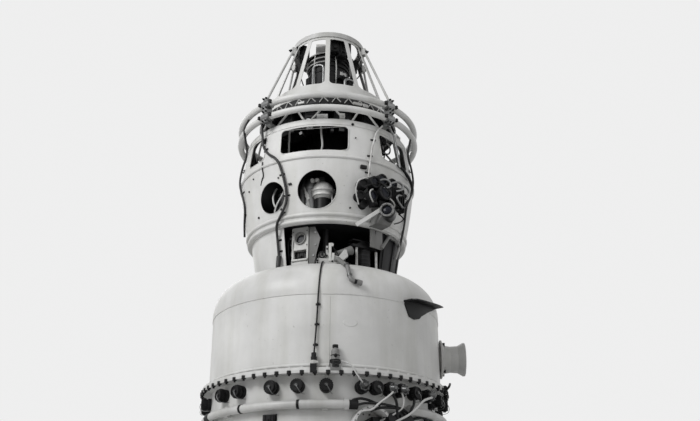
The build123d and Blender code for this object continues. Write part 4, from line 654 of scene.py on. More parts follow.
class CAPSULE_OT_skirt_trim(bpy.types.Operator):
    """Adds rivets, pipe sleeves, port screws and small units on the skirt"""
    bl_idname = "capsule.skirt_trim"
    bl_label = "Skirt trim"

    def execute(self, context):
        screw = context.scene.capsule_fasteners.screw_radius
        wall = SKIRT_R - SUNK
        self.rivet_wall(wall)
        self.dress_ports(screw)
        self.set_units(wall)
        self.run_cables()
        self.set_cover_plates(screw)
        self.run_rear_leads()
        return {"FINISHED"}

    def rivet_wall(self, wall):
        """Short columns of rivets under the flange and two rows round the foot."""
        rivets = [
            Bit("disc", azimuth, 0.932 - 0.0105 * row, wall, 0.003, 0.002, 0.003)
            for azimuth in (41.2, 42.6, -41.2, -42.6, 108.0, 109.4, 206.0, 207.4, 257.0, 258.4)
            for row in range(6)
        ]
        rivets += [
            Bit("disc", step * 6.0, height, wall, 0.0045, 0.003, 0.0035)
            for height in (0.404, 0.456) for step in range(60)
        ]
        bit_piece("skirt_rivets", rivets, "pale enamel")

    def dress_ports(self, screw):
        """Screws on the ports' rims and floors, and a hub and two boxes in each."""
        bm = bmesh.new()
        for azimuth, height in PORTS:
            rim = wall_frame(SKIRT_R + 0.034, azimuth, height)
            add_circle_of(bm, rim, 0.098, 20, screw * 0.8, CAP)
            floor = wall_frame(SKIRT_R - 0.054, azimuth, height)
            add_circle_of(bm, floor, 0.078, 16, screw, 0.004, 11)
            hub = floor @ shift(0, 0, 0.028)
            add_disc(bm, hub, 0.009, 0.012, HEX)
            add_ring(bm, hub, 0.016, 0.012, 0.004, 20)
            add_unit(bm, floor @ shift(-0.040, -0.044, 0), 0.044, 0.036, 0.036)
            add_unit(bm, floor @ shift(-0.058, 0.012, 0), 0.026, 0.034, 0.026)
        new_piece("service_port_screws", bm, "dark steel")

    def set_units(self, wall):
        """Boxes and round units under the connectors and round the skirt."""
        bit_piece("skirt_units", [
            Bit("disc", 34.0, FOOT_Z - 0.180, SKIRT_R - 0.004, 0.028, 0.026, 0.046),
            Bit("ring", 34.0, FOOT_Z - 0.180, SKIRT_R + 0.040, 0.030, 0.020, 0.010),
            Bit("hex", 34.0, FOOT_Z - 0.180, SKIRT_R + 0.042, 0.010, 0.010, 0.010),
            Bit("disc", 29.6, 0.768, SKIRT_R - 0.004, 0.024, 0.024, 0.050),
            Bit("disc", 38.0, 0.764, SKIRT_R - 0.004, 0.030, 0.030, 0.052),
            Bit("unit", 60.5, FOOT_Z - 0.090, wall, 0.034, 0.026, 0.022),
            Bit("unit", 70.0, FOOT_Z - 0.112, wall, 0.022, 0.030, 0.018),
            Bit("unit", 56.5, FOOT_Z - 0.180, wall, 0.046, 0.030, 0.026),
            Bit("unit", -25.0, FOOT_Z - 0.200, wall, 0.060, 0.040, 0.026),
            Bit("unit", -62.0, FOOT_Z - 0.210, wall, 0.050, 0.060, 0.030),
            Bit("unit", 116.0, FOOT_Z - 0.220, wall, 0.070, 0.044, 0.030),
            Bit("unit", 172.0, FOOT_Z - 0.230, wall, 0.060, 0.060, 0.030),
        ], "black enamel", 0.001)

    def run_cables(self):
        """Dark cables round the front port and the sleeves on the manifold pipe."""
        leads("skirt_dark_cables", [
            [(0.630, 19.6, 0.792), (0.645, 22.0, 0.806), (0.650, 26.0, 0.813),
             (0.655, 31.0, 0.812), (0.656, 35.5, 0.812), (0.640, 38.0, 0.790)],
            [(0.652, 29.5, 0.872), (0.662, 30.4, 0.850), (0.660, 31.0, 0.812), (0.652, 31.2, 0.780)],
            [(0.652, 41.0, 0.868), (0.664, 40.0, 0.840), (0.660, 37.6, 0.806), (0.648, 37.8, 0.780)],
            [(0.610, 12.0, 0.842), (0.622, 14.5, 0.852), (0.630, 18.0, 0.846), (0.636, 21.0, 0.834),
             (0.636, 24.0, 0.822)],
            [(0.600, 44.0, 0.780), (0.622, 48.0, 0.800), (0.628, 54.0, 0.790), (0.600, 60.0, 0.772)],
        ], 0.0065, "rubber")
        sleeves = (  # where each sleeve on the manifold starts, and the degrees it spans
            (8.4, 5.6), (-12.0, 1.2), (-40.0, 1.2), (-70.0, 5.6), (-100.0, 1.2), (135.0, 5.6), (190.0, 1.2),
        )
        leads("manifold_sleeves", [
            arc_line(SKIRT_R + 0.026, FOOT_Z - 0.141, start, start + turn) for start, turn in sleeves
        ], 0.0225, "rubber")

    def set_cover_plates(self, screw):
        """Blank cover plates with their screws."""
        covers = (  # azimuth, height, width, tall
            (-8.0, 0.600, 0.150, 0.090), (75.0, 0.640, 0.13, 0.17),
            (-100.0, 0.64, 0.2, 0.14), (150.0, 0.62, 0.16, 0.16),
        )
        plates = bmesh.new()
        for azimuth, height, width, tall in covers:
            at = wall_frame(SKIRT_R - 0.006, azimuth, height)
            add_block(plates, at, width, tall, 0.010)
            across, up = width * 0.43, tall * 0.42
            add_heads(plates, at, (-across, 0, across), (-up, up), 0.010, screw)
        new_piece("skirt_cover_plates", plates, "pale enamel", 0.0015)

    def run_rear_leads(self):
        """Pale leads from three rear connectors into the rear port."""
        rear_leads = []
        runs = ((-168.0, -153.5, 0.02), (-138.0, -147.0, 0.03), (-126.0, -145.5, -0.02))
        for start, port_turn, rise in runs:  # azimuth at the connector and in the port, rise in the port
            rear_leads.append([
                (CONNECTOR_FACE + 0.03, start, CONNECTOR_Z),
                (CONNECTOR_FACE + 0.034, start, CONNECTOR_Z - 0.03),
                (CONNECTOR_FACE + 0.010, (start + port_turn) / 2, FOOT_Z - 0.13),
                (CONNECTOR_FACE + 0.006, port_turn, FOOT_Z - 0.20),
                (SKIRT_R - 0.050, port_turn, PORTS[1][1] + rise),
            ])
        leads("rear_skirt_leads", rear_leads, 0.0042, "pale sleeve")


class CAPSULE_OT_cylinder_trim(bpy.types.Operator):
    """Adds the seams, the oval cover, valve, rod and horn fittings and the hood's edge"""
    bl_idname = "capsule.cylinder_trim"
    bl_label = "Cylinder trim"

    def execute(self, context):
        screw = context.scene.capsule_fasteners.screw_radius
        seam_r = CYL_R + 0.0004
        leads("weld_seams", [
            [(seam_r, azimuth, TOP_Z + 0.03), (seam_r, azimuth, 1.34)] for azimuth in (1.7, 121.7, -118.3)
        ], 0.0016, "white enamel")

        oval = bmesh.new()
        widened = Matrix.Diagonal((1.9, 1, 1, 1))
        add_disc(oval, wall_frame(CYL_R - SUNK, 11.0, 1.213) @ widened, 0.019, 0.0026, 28, 0.0182)
        new_piece("oval_cover", oval, "white enamel", 0.0006)
        self.dress_flange_top()
        self.dress_horn(screw)
        self.edge_hood()
        return {"FINISHED"}

    def dress_flange_top(self):
        """Rings and nuts on the valve and the rod's foot, the rod's clips, and the clamp and its lever."""
        valve_az, rod_az, stand_r = 4.2, -4.9, CYL_R + 0.020
        valve, rod_foot = upright(stand_r, valve_az, TOP_Z), upright(stand_r, rod_az, TOP_Z)
        clamp = bmesh.new()
        add_disc(clamp, rod_foot @ shift(0, 0, 0.016), 0.0162, 0.018, 24)
        add_block(clamp, rod_foot @ shift(0.010, -0.008, 0.020), 0.022, 0.012, 0.010)
        new_piece("rod_foot_clamp", clamp, "pale enamel", 0.0008)
        rings = bmesh.new()
        steps = ((0.000, 0.0262, 0.012), (0.014, 0.0262, 0.014), (0.056, 0.0205, 0.004))
        for height, radius, tall in steps:
            add_ring(rings, valve @ shift(0, 0, height), radius + 0.0016, radius - 0.006, tall, 28)
        new_piece("valve_base_rings", rings, "black enamel", 0.0006)

        dark = bmesh.new()
        for height, radius, tall in ((0.030, 0.0270, 0.007), (0.098, 0.012, 0.010)):
            add_ring(dark, valve @ shift(0, 0, height), radius, radius - 0.008, tall, 24)
        add_circle_of(dark, valve @ shift(0, 0, 0.096), 0.0115, 10, 0.0028, 0.014)
        add_disc(dark, valve @ shift(0, 0, 0.104), 0.013, 0.006, 16)
        for height, radius, tall in ((0.002, 0.0175, 0.014), (0.036, 0.0165, 0.016), (0.060, 0.012, 0.008)):
            add_disc(dark, rod_foot @ shift(0, 0, height), radius, tall, HEX)
        outlet = wall_frame(CYL_R + 0.036, valve_az, TOP_Z + 0.054)
        add_disc(dark, outlet, 0.009, 0.012, HEX)
        add_disc(dark, outlet @ shift(0, 0, 0.012), 0.006, 0.008, 12)
        for azimuth, height in ((-3.9, 1.20), (-4.4, 1.10), (-3.5, 1.30)):
            add_block(dark, wall_frame(CYL_R - SUNK, azimuth, height), 0.024, 0.010, 0.004)
            add_ring(dark, upright(CYL_R + 0.010, azimuth, height - 0.005), 0.0075, 0.004, 0.010, 16)
        lever_az = 71.3
        lever = wall_frame(FLANGE_R - 0.004, lever_az, (FOOT_Z + TOP_Z) / 2)
        add_block(dark, lever, 0.050, 0.034, 0.014)
        add_circle_of(dark, lever @ shift(0, 0, 0.014), 0.016, 4, 0.005, 0.004, 45)
        add_block(dark, wall_frame(FLANGE_R - 0.022, 80.5, FOOT_Z - 0.018), 0.046, 0.030, 0.022)
        new_piece("flange_fittings", dark, "black enamel", 0.0008)
        leads("flange_lever", [
            [(FLANGE_R + 0.004, lever_az, FOOT_Z + 0.012), (FLANGE_R + 0.030, 69.0, FOOT_Z + 0.018),
             (FLANGE_R + 0.040, 66.7, FOOT_Z + 0.030)],
        ], 0.006, "dark steel")

    def dress_horn(self, screw):
        """Foot ring, screws, gussets and a rolled lip for the side horn."""
        horn = wall_frame(CYL_R + 0.006, 88.0, FOOT_Z + 0.215)
        bm = bmesh.new()
        add_circle_of(bm, horn, 0.092, 16, screw * 1.3, 0.007)
        add_ring(bm, horn @ shift(0, 0, 0.004), 0.079, 0.068, 0.006, 40)
        for turn in (60, 120, 240, 300):
            add_block(bm, horn @ spun(turn) @ shift(0.080, 0, 0), 0.026, 0.006, 0.026)
        new_piece("horn_fasteners", bm, "black enamel", 0.0008)
        lip = bmesh.new()
        add_turned(lip, horn @ shift(0, 0, 0.1265), [
            (0.0855, 0), (0.0885, 0.001), (0.0895, 0.004), (0.0885, 0.007), (0.0855, 0.008),
            (0.0835, 0.004), (0.0855, 0),
        ])
        new_piece("horn_lip", lip, "pale enamel")

    def edge_hood(self):
        """Bare wire along both lips of the hood."""
        edge_r = CYL_R + 0.049
        edge = [
            (edge_r, 40.6, 1.367), (edge_r, 43.9, 1.374), (edge_r, 54.0, 1.383),
            (edge_r - 0.006, 68.5, 1.404),
        ]
        inner_edge = [(radius - 0.026, azimuth, height + 0.004) for radius, azimuth, height in edge]
        leads("hood_edge", [edge, inner_edge], 0.0022, "bare metal")


class CAPSULE_OT_bay(bpy.types.Operator):
    """Fills the open bay: lens, plates, looms, small units and fasteners"""
    bl_idname = "capsule.bay"
    bl_label = "Bay"

    def execute(self, context):
        self.dress_lens_box(context.scene.capsule_fasteners.screw_radius)
        self.fill_bay()
        self.trim_panel_and_unit()
        return {"FINISHED"}

    def dress_lens_box(self, screw):
        """The lens, its bezel and screws, and what stands in the niche under it."""
        lens_az, lens_z, face = -23.0, 1.750, 0.362
        glass = bmesh.new()
        add_disc(glass, wall_frame(face - 0.020, lens_az, lens_z), 0.0268, 0.006, 32, 0.020)
        new_piece("bay_lens", glass, "lens glass")
        plate = bmesh.new()
        front = wall_frame(face, lens_az, lens_z)
        add_ring(plate, front, 0.0345, 0.0270, 0.008, 36)
        add_heads(plate, front, (-0.040, 0.040), (-0.165, -0.128, -0.040, 0.040), 0, screw)
        new_piece("bay_lens_bezel", plate, "grey enamel", 0.0006)
        niche = bmesh.new()
        add_unit(niche, wall_frame(face - 0.046, lens_az, 1.664), 0.050, 0.030, 0.026)
        add_disc(niche, wall_frame(face - 0.040, -18.5, 1.650), 0.008, 0.030, 12)
        new_piece("bay_niche_unit", niche, "black enamel")

    def fill_bay(self):
        """Units on the core and behind the posts, small fittings, pale and dark looms."""
        core = 0.104
        bit_piece("bay_units", [
            Bit("unit", -31.6, 1.745, 0.300, 0.052, 0.090, 0.052),
            Bit("unit", -31.4, 1.655, 0.300, 0.050, 0.070, 0.040),
            Bit("unit", 14.0, 1.700, core, 0.060, 0.080, 0.050),
            Bit("unit", -14.0, 1.690, core, 0.050, 0.100, 0.040),
            Bit("unit", 45.0, 1.690, core, 0.060, 0.110, 0.060),
            Bit("unit", 80.0, 1.690, core, 0.060, 0.110, 0.060),
            Bit("unit", 150.0, 1.690, core, 0.060, 0.110, 0.030),
            Bit("block", 30.6, 1.741, 0.330, 0.126, 0.006, 0.050),
            Bit("disc", 13.5, 1.628, 0.352, 0.012, 0.012, 0.020),
        ], "black enamel", 0.0008)
        bit_piece("bay_fittings", [
            Bit("disc", -30.2, 1.716, 0.352, 0.010, 0.008, 0.012),
            Bit("disc", -32.0, 1.758, 0.352, 0.008, 0.006, 0.014),
            Bit("block", -31.5, 1.672, 0.340, 0.026, 0.016, 0.012),
            Bit("block", -31.0, 1.624, 0.330, 0.040, 0.020, 0.020),
            Bit("hex", -9.0, 1.770, 0.380, 0.006, 0.006, 0.004),
            Bit("hex", -9.0, 1.700, 0.380, 0.006, 0.006, 0.004),
            Bit("hex", -10.5, 1.640, 0.380, 0.006, 0.006, 0.004),
        ], "bare metal", 0.0006)
        leads("bay_looms", [
            [(0.352, -28.6, 1.778), (0.372, -29.2, 1.740), (0.366, -29.6, 1.690), (0.350, -29.0, 1.640),
             (0.34, -28.6, 1.590)],
            [(0.116, -4.0, 1.815), (0.118, -3.0, 1.740), (0.118, -5.0, 1.660), (0.118, -4.0, 1.580)],
            [(0.116, 4.0, 1.815), (0.118, 6.0, 1.740), (0.118, 4.0, 1.660), (0.118, 6.0, 1.580)],
            [(0.150, 14.0, 1.690), (0.220, 18.0, 1.640), (0.300, 22.0, 1.590), (0.350, 24.0, 1.578)],
        ], 0.0042, "pale sleeve")
        leads("bay_dark_looms", [
            [(0.352, -33.4, 1.778), (0.372, -33.8, 1.740), (0.366, -34.0, 1.690), (0.350, -34.6, 1.640),
             (0.34, -34.0, 1.590)],
            [(0.118, 1.0, 1.815), (0.122, 0.0, 1.740), (0.122, 1.6, 1.660), (0.118, 0.0, 1.580)],
            [(0.150, 46.0, 1.690), (0.230, 40.0, 1.720), (0.320, 36.0, 1.726), (0.345, 35.0, 1.72)],
        ], 0.0050, "rubber")

    def trim_panel_and_unit(self):
        """Rivets along the inner panel's ribs and rings round the black unit."""
        rivets = [
            Bit("disc", rib + side, 1.60 + 0.03 * row, 0.3765 + 0.0046 * row, 0.0034, 0.002, 0.003)
            for rib in (57.5, 72.0, 87.0) for row in range(7) for side in (-4.5, 4.5)
        ]
        bit_piece("bay_panel_rivets", rivets, "dark steel")
        rings = bmesh.new()
        for row in range(5):
            add_ring(rings, upright(0.352, 34.0, 1.594 + 0.022 * row), 0.0385, 0.034, 0.006, 28)
        new_piece("bay_unit_rings", rings, "dark enamel")


class CAPSULE_OT_fitting_trim(bpy.types.Operator):
    """Adds pins, nuts and the dark tip sleeve to the shoulder fitting and hook pipe"""
    bl_idname = "capsule.fitting_trim"
    bl_label = "Fitting trim"

    def execute(self, context):
        foot, out = 1.575, 0.446
        dark = bmesh.new()
        roller = wall_frame(out - 0.004, 0, foot + 0.044) @ shift(-0.022, 0, 0)
        add_ring(dark, roller, 0.0195, 0.0125, 0.006, 28)
        add_disc(dark, roller, 0.0075, 0.014, HEX)
        for side, up in ((-0.046, 0.010), (0.046, 0.010), (-0.046, -0.004), (0.030, 0.006)):
            add_disc(dark, wall_frame(out + 0.002, 0, foot) @ shift(side, up, 0), 0.0055, 0.006, HEX)
        for up in (0.040, 0.078):
            add_disc(dark, wall_frame(out - 0.010, 0, foot) @ shift(0.002, up, 0), 0.0042, 0.012, HEX)
        new_piece("fitting_fasteners", dark, "black enamel", 0.0006)

        leads("hook_tip_sleeve", [
            [(0.632, 12.6, 1.4180), (0.632, 14.4, 1.4150), (0.632, 16.1, 1.4118)],
        ], 0.0125, "rubber")
        leads("hook_collars", [
            [(0.6195, 10.55, 1.458), (0.6215, 10.65, 1.450), (0.6225, 10.7, 1.446)],
            [(0.588, 9.6, 1.520), (0.592, 9.8, 1.514), (0.596, 9.9, 1.508)],
        ], 0.0130, "dark steel")

        fork = bmesh.new()
        for azimuth, width, tall, turn in ((2.3, 0.014, 0.100, 0), (4.2, 0.012, 0.046, -6)):
            at = wall_frame(out - 0.022, azimuth, foot + 0.006 + tall / 2) @ spun(turn)
            add_block(fork, at, width, tall, 0.030)
        add_disc(fork, wall_frame(out - 0.008, 3.4, foot + 0.098), 0.010, 0.014, 16)
        new_piece("fitting_fork", fork, "white enamel", 0.001)

        stay = bmesh.new()
        at, length = span_frame(polar(0.412, 6.4, 1.640), polar(0.398, 19.5, 1.670))
        add_turned(stay, at, [
            (0.0, 0.0), (0.010, 0.0), (0.013, length * 0.3), (0.022, length * 0.8), (0.025, length * 0.94),
            (0.022, length), (0.0, length),
        ], 28)
        new_piece("fitting_stay_cup", stay, "grey enamel")
        leads("fitting_wires", [
            [(0.440, -4.2, 1.612), (0.458, -6.0, 1.600), (0.470, -6.6, 1.582), (0.478, -5.4, 1.566)],
            [(0.444, 1.2, 1.660), (0.452, 3.0, 1.668), (0.446, 5.2, 1.650), (0.432, 7.6, 1.632)],
        ], 0.0028, "rubber")
        return {"FINISHED"}


class CAPSULE_OT_cluster(bpy.types.Operator):
    """Dresses the instrument cluster and the barrel sensor with rims, lenses, tubes and wires"""
    bl_idname = "capsule.cluster"
    bl_label = "Instrument cluster"

    def execute(self, context):
        self.dress_cluster()
        self.run_cluster_leads()
        self.dress_sensor()
        return {"FINISHED"}

    def dress_cluster(self):
        """Rims and lenses on the cluster's barrels, fins on its box, cans and boxes beside it."""
        back = wall_frame(0.496, 37.5, 1.982)
        eyes = (  # side, up, radius, depth
            (-0.092, 0.036, 0.034, 0.040), (-0.100, -0.040, 0.030, 0.030), (-0.044, 0.062, 0.033, 0.046),
            (-0.034, -0.012, 0.043, 0.054), (0.038, 0.066, 0.030, 0.034),
        )
        rims, glass = bmesh.new(), bmesh.new()
        for side, up, radius, depth in eyes:
            at = back @ shift(side, up, depth)
            add_ring(rims, at, radius * 0.98, radius * 0.72, 0.006, 28)
            add_circle_of(rims, at, radius * 0.86, 6, 0.0028, 0.009)
            add_disc(glass, at, radius * 0.72, 0.004, 24, radius * 0.5)
        box = back @ shift(0.062, -0.004, 0.040)
        for row in range(7):
            add_block(rims, box @ shift(-0.045 + 0.015 * row, 0, 0), 0.004, 0.092, 0.010)
        add_circle_of(rims, box, 0.066, 4, 0.005, 0.005, 45)
        new_piece("cluster_rims", rims, "dark enamel", 0.0006)
        new_piece("cluster_lenses", glass, "lens glass")

        cans = (  # azimuth, height, radius, depth
            (21.6, 2.008, 0.027, 0.046), (20.2, 1.944, 0.024, 0.040), (23.4, 1.905, 0.020, 0.034),
        )
        barrels = bmesh.new()
        for azimuth, height, radius, depth in cans:
            at = hull_frame(azimuth, height, -0.002)
            add_disc(barrels, at, radius * 1.15, 0.008, 24)
            add_disc(barrels, at, radius, depth, 24)
            add_ring(barrels, at @ shift(0, 0, depth), radius * 1.08, radius * 0.7, 0.007, 24)
            add_circle_of(barrels, at @ shift(0, 0, 0.008), radius * 1.02, 8, 0.003, CAP)
        boxes = ((28.0, 1.905, 20), (50.5, 1.925, -15), (52.5, 2.010, 0), (33.5, 1.912, 0))
        for azimuth, height, turn in boxes:
            add_unit(barrels, wall_frame(0.500, azimuth, height) @ spun(turn), 0.036, 0.030, 0.034)
        new_piece("cluster_barrels", barrels, "black enamel", 0.0008)

    def run_cluster_leads(self):
        """Bare tubes, pale leads, a strip along the porthole's rim and dark wires."""
        leads("cluster_tubes", [
            [(0.540, 30.0, 2.030), (0.558, 33.0, 2.048), (0.558, 37.5, 2.034), (0.558, 37.0, 2.000),
             (0.548, 32.5, 1.992)],
            [(0.540, 39.5, 2.040), (0.558, 43.0, 2.062), (0.560, 47.5, 2.046), (0.558, 46.5, 2.012),
             (0.546, 42.5, 2.002)],
            [(0.542, 49.0, 1.990), (0.558, 44.5, 1.984), (0.562, 41.0, 1.958), (0.558, 43.5, 1.930),
             (0.542, 49.0, 1.926)],
            [(0.540, 49.5, 2.064), (0.556, 53.0, 2.054), (0.552, 55.0, 2.020), (0.536, 53.0, 1.990)],
        ], 0.0062, "bare metal")
        leads("cluster_pale_leads", [
            [(0.508, 27.0, 2.062), (0.540, 24.0, 2.040), (0.536, 17.8, 2.020), (0.520, 16.6, 1.975),
             (0.512, 17.6, 1.930), (0.500, 19.4, 1.892)],
            [(0.540, 26.5, 1.975), (0.560, 24.0, 1.962), (0.556, 23.4, 1.930), (0.530, 27.5, 1.902)],
            [(0.546, 36.0, 1.950), (0.562, 38.5, 1.930), (0.556, 41.0, 1.902), (0.530, 40.0, 1.880)],
        ], 0.0040, "pale sleeve")
        leads("cluster_rim_strip", [
            [(0.506, 52.0, 2.090), (0.522, 56.0, 2.096), (0.530, 58.6, 2.066), (0.528, 58.8, 2.026),
             (0.512, 56.4, 1.994), (0.500, 52.4, 1.990)],
        ], 0.0068, "white enamel")
        leads("cluster_wires", [
            [(0.548, 29.0, 2.020), (0.562, 31.5, 2.010), (0.566, 34.0, 1.985), (0.560, 37.0, 1.972)],
            [(0.550, 45.0, 2.010), (0.570, 47.0, 1.994), (0.568, 45.5, 1.970), (0.556, 42.5, 1.965)],
            [(0.520, 22.0, 1.990), (0.548, 24.5, 1.998), (0.556, 27.0, 2.000), (0.545, 29.5, 2.008)],
            [(0.505, 50.0, 1.900), (0.530, 52.0, 1.880), (0.520, 51.0, 1.852), (0.480, 49.0, 1.846)],
            [(0.530, 47.0, 1.918), (0.548, 44.5, 1.898), (0.544, 41.5, 1.888), (0.530, 40.0, 1.880)],
        ], 0.0034, "rubber")

    def dress_sensor(self):
        """The barrel sensor's stay, lens, bezel, screws and end cap."""
        stay = bmesh.new()
        at, length = span_frame(polar(0.470, 19.0, 1.786), polar(0.540, 32.0, 1.872))
        add_block(stay, at, 0.006, 0.022, length)
        new_piece("sensor_stay", stay, "pale enamel", 0.001)

        look, half_barrel = -12.0, 0.042
        mouth = stand_frame(polar(0.542, 36.5, 1.861) + polar(half_barrel, look, 0), look)
        glass = bmesh.new()
        add_disc(glass, mouth @ shift(0, 0, -0.010), 0.0262, 0.005, 28, 0.019)
        new_piece("sensor_lens", glass, "lens glass")
        ring = bmesh.new()
        add_ring(ring, mouth, 0.0385, 0.0300, 0.005, 36)
        new_piece("sensor_bezel", ring, "grey enamel", 0.0006)
        nuts = bmesh.new()
        add_circle_of(nuts, mouth @ shift(0, 0, 0.004), 0.0345, 8, 0.0026, CAP)
        tail = mouth @ shift(0, 0, -2 * half_barrel) @ TURNED_OVER
        add_disc(nuts, tail, 0.020, 0.012, 20, 0.012)
        new_piece("sensor_screws", nuts, "dark steel")


class CAPSULE_OT_openings(bpy.types.Operator):
    """Edges the portholes and windows and sets what shows behind them"""
    bl_idname = "capsule.openings"
    bl_label = "Openings"

    def execute(self, context):
        flush = -0.0004
        lips = [
            opening_edge(azimuth, height, radius, radius, radius, flush)
            for azimuth, height, radius in PORTHOLES
        ]
        lips += [
            opening_edge(azimuth, WINDOW_Z, width / 2, WINDOW_H / 2, WINDOW_CORNER, flush)
            for azimuth, width in WINDOWS
        ]
        leads("opening_edges", lips, 0.0022, "white enamel", closed=True)
        self.fill_windows()
        self.fill_portholes()
        return {"FINISHED"}

    def fill_windows(self):
        """Cables, racks, small fittings and blankets behind the windows."""
        top, foot = 2.400, 2.164
        leads("window_cables", [
            [(0.400, -32.3, top), (0.405, -32.3, 2.330), (0.400, -32.6, 2.255), (0.392, -33.5, foot)],
            [(0.400, -5.5, top), (0.405, -5.5, 2.353), (0.404, -3.7, 2.271), (0.400, -6.0, 2.229),
             (0.392, -5.0, foot)],
            [(0.390, 46.0, top), (0.396, 47.0, 2.320), (0.392, 44.0, 2.250), (0.388, 46.0, foot)],
            *(
                [(0.390, azimuth, top), (0.396, azimuth + 1, 2.310), (0.392, azimuth - 2, 2.250),
                 (0.388, azimuth, foot)]
                for azimuth in (-52.0, 118.0, 178.0)
            ),
        ], 0.0055, "pale sleeve")
        bit_piece("window_racks", [
            Bit("unit", azimuth, 2.213, 0.250, 0.086, 0.098, 0.050)
            for azimuth in (-30.0, -4.0, 20.0, 52.0, -56.0, 100.0, 130.0, 180.0, -110.0, -140.0)
        ], "black enamel", 0.001)
        bit_piece("window_fittings", [
            Bit("disc", -26.0, 2.395, 0.330, 0.014, 0.010, 0.020),
            Bit("disc", 4.0, 2.400, 0.330, 0.012, 0.009, 0.018),
            Bit("disc", 44.0, 2.440, 0.330, 0.014, 0.010, 0.02),
            Bit("block", -17.0, 2.420, 0.332, 0.040, 0.014, 0.016),
            Bit("block", 13.0, 2.408, 0.332, 0.030, 0.018, 0.014),
            Bit("block", -37.0, 2.425, 0.332, 0.034, 0.012, 0.014),
        ], "dark steel", 0.0006)

        radius = 0.462
        blankets = bmesh.new()
        for azimuth, width in ((120.0, 0.330), (-110.0, 0.266)):
            half = math.degrees(width / 2 / radius)
            ends = [blankets.verts.new(polar(radius, azimuth - half, z)) for z in (2.186, 2.370)]
            edge = blankets.edges.new(ends)
            bmesh.ops.spin(
                blankets, geom=[*ends, edge], cent=(0, 0, 0), axis=(0, 0, 1),
                angle=math.radians(2 * half), steps=16,
            )
        bmesh.ops.solidify(blankets, geom=blankets.faces[:], thickness=0.002)
        new_piece("window_blankets", blankets, "black enamel")

    def fill_portholes(self):
        """The duct, bottle bands, caps, shelf, pipes and unit bands behind the portholes."""
        duct_place = (0.350, -16.0)
        duct = bmesh.new()
        add_turned(duct, upright(*duct_place, 1.842), [
            (0.0, 0.0), (0.052, 0.0), (0.052, 0.200), (0.046, 0.236), (0.030, 0.258), (0.0, 0.266),
        ], 40)
        add_ring(duct, upright(*duct_place, 2.020), 0.0545, 0.050, 0.010, 40)
        new_piece("porthole_duct", duct, "bare metal")

        bands = bmesh.new()
        bottle = upright(0.372, -3.6, 2.001)
        add_ring(bands, bottle @ shift(0, 0, -0.030), 0.0600, 0.050, 0.012, 40)
        add_circle_of(bands, bottle @ shift(0, 0, 0.005), 0.0648, 16, 0.0032, 0.004)
        new_piece("bottle_bands", bands, "white enamel", 0.0006)

        stand = 0.392
        caps = bmesh.new()
        for azimuth in (-11.6, -7.9):
            at = wall_frame(stand, azimuth, 2.066)
            add_disc(caps, at, 0.013, 0.014, 20, 0.010)
            add_disc(caps, at @ shift(0, 0, 0.014), 0.006, 0.005, 12)
        for azimuth, height, size in ((-15.4, 1.974, 0.012), (-16.2, 1.990, 0.008), (-14.6, 1.958, 0.009)):
            add_disc(caps, wall_frame(stand, azimuth, height), size, 0.018, 14)
        new_piece("porthole_caps", caps, "white enamel", 0.001)
        bit_piece("porthole_shelf", [
            Bit("block", -10.0, 2.074, 0.350, 0.110, 0.030, 0.040),
            Bit("block", -16.0, 1.966, 0.340, 0.050, 0.046, 0.050),
        ], "dark steel", 0.002)
        leads("porthole_pipes", [
            [(0.400, -12.0, 1.846), (0.410, -13.0, 1.900), (0.404, -15.5, 1.960), (0.398, -18.0, 2.030)],
            [(0.392, 2.8, 1.846), (0.404, 4.2, 1.930), (0.396, 3.2, 2.010), (0.350, 0.0, 2.060),
             (0.330, -2.0, 2.060)],
            [(0.430, -41.5, 1.846), (0.436, -40.5, 1.905), (0.436, -38.0, 1.950), (0.420, -35.0, 2.000),
             (0.40, -34.0, 2.06)],
            [(0.436, -40.0, 1.930), (0.436, -42.6, 1.968), (0.424, -44.0, 2.020), (0.40, -44.0, 2.06)],
        ], 0.0052, "pale sleeve")
        unit_bands = bmesh.new()
        for height in (1.846, 1.930, 2.010):
            add_ring(unit_bands, upright(0.350, -39.0, height), 0.0535, 0.050, 0.012, 36)
        new_piece("unit_bands", unit_bands, "bare metal")


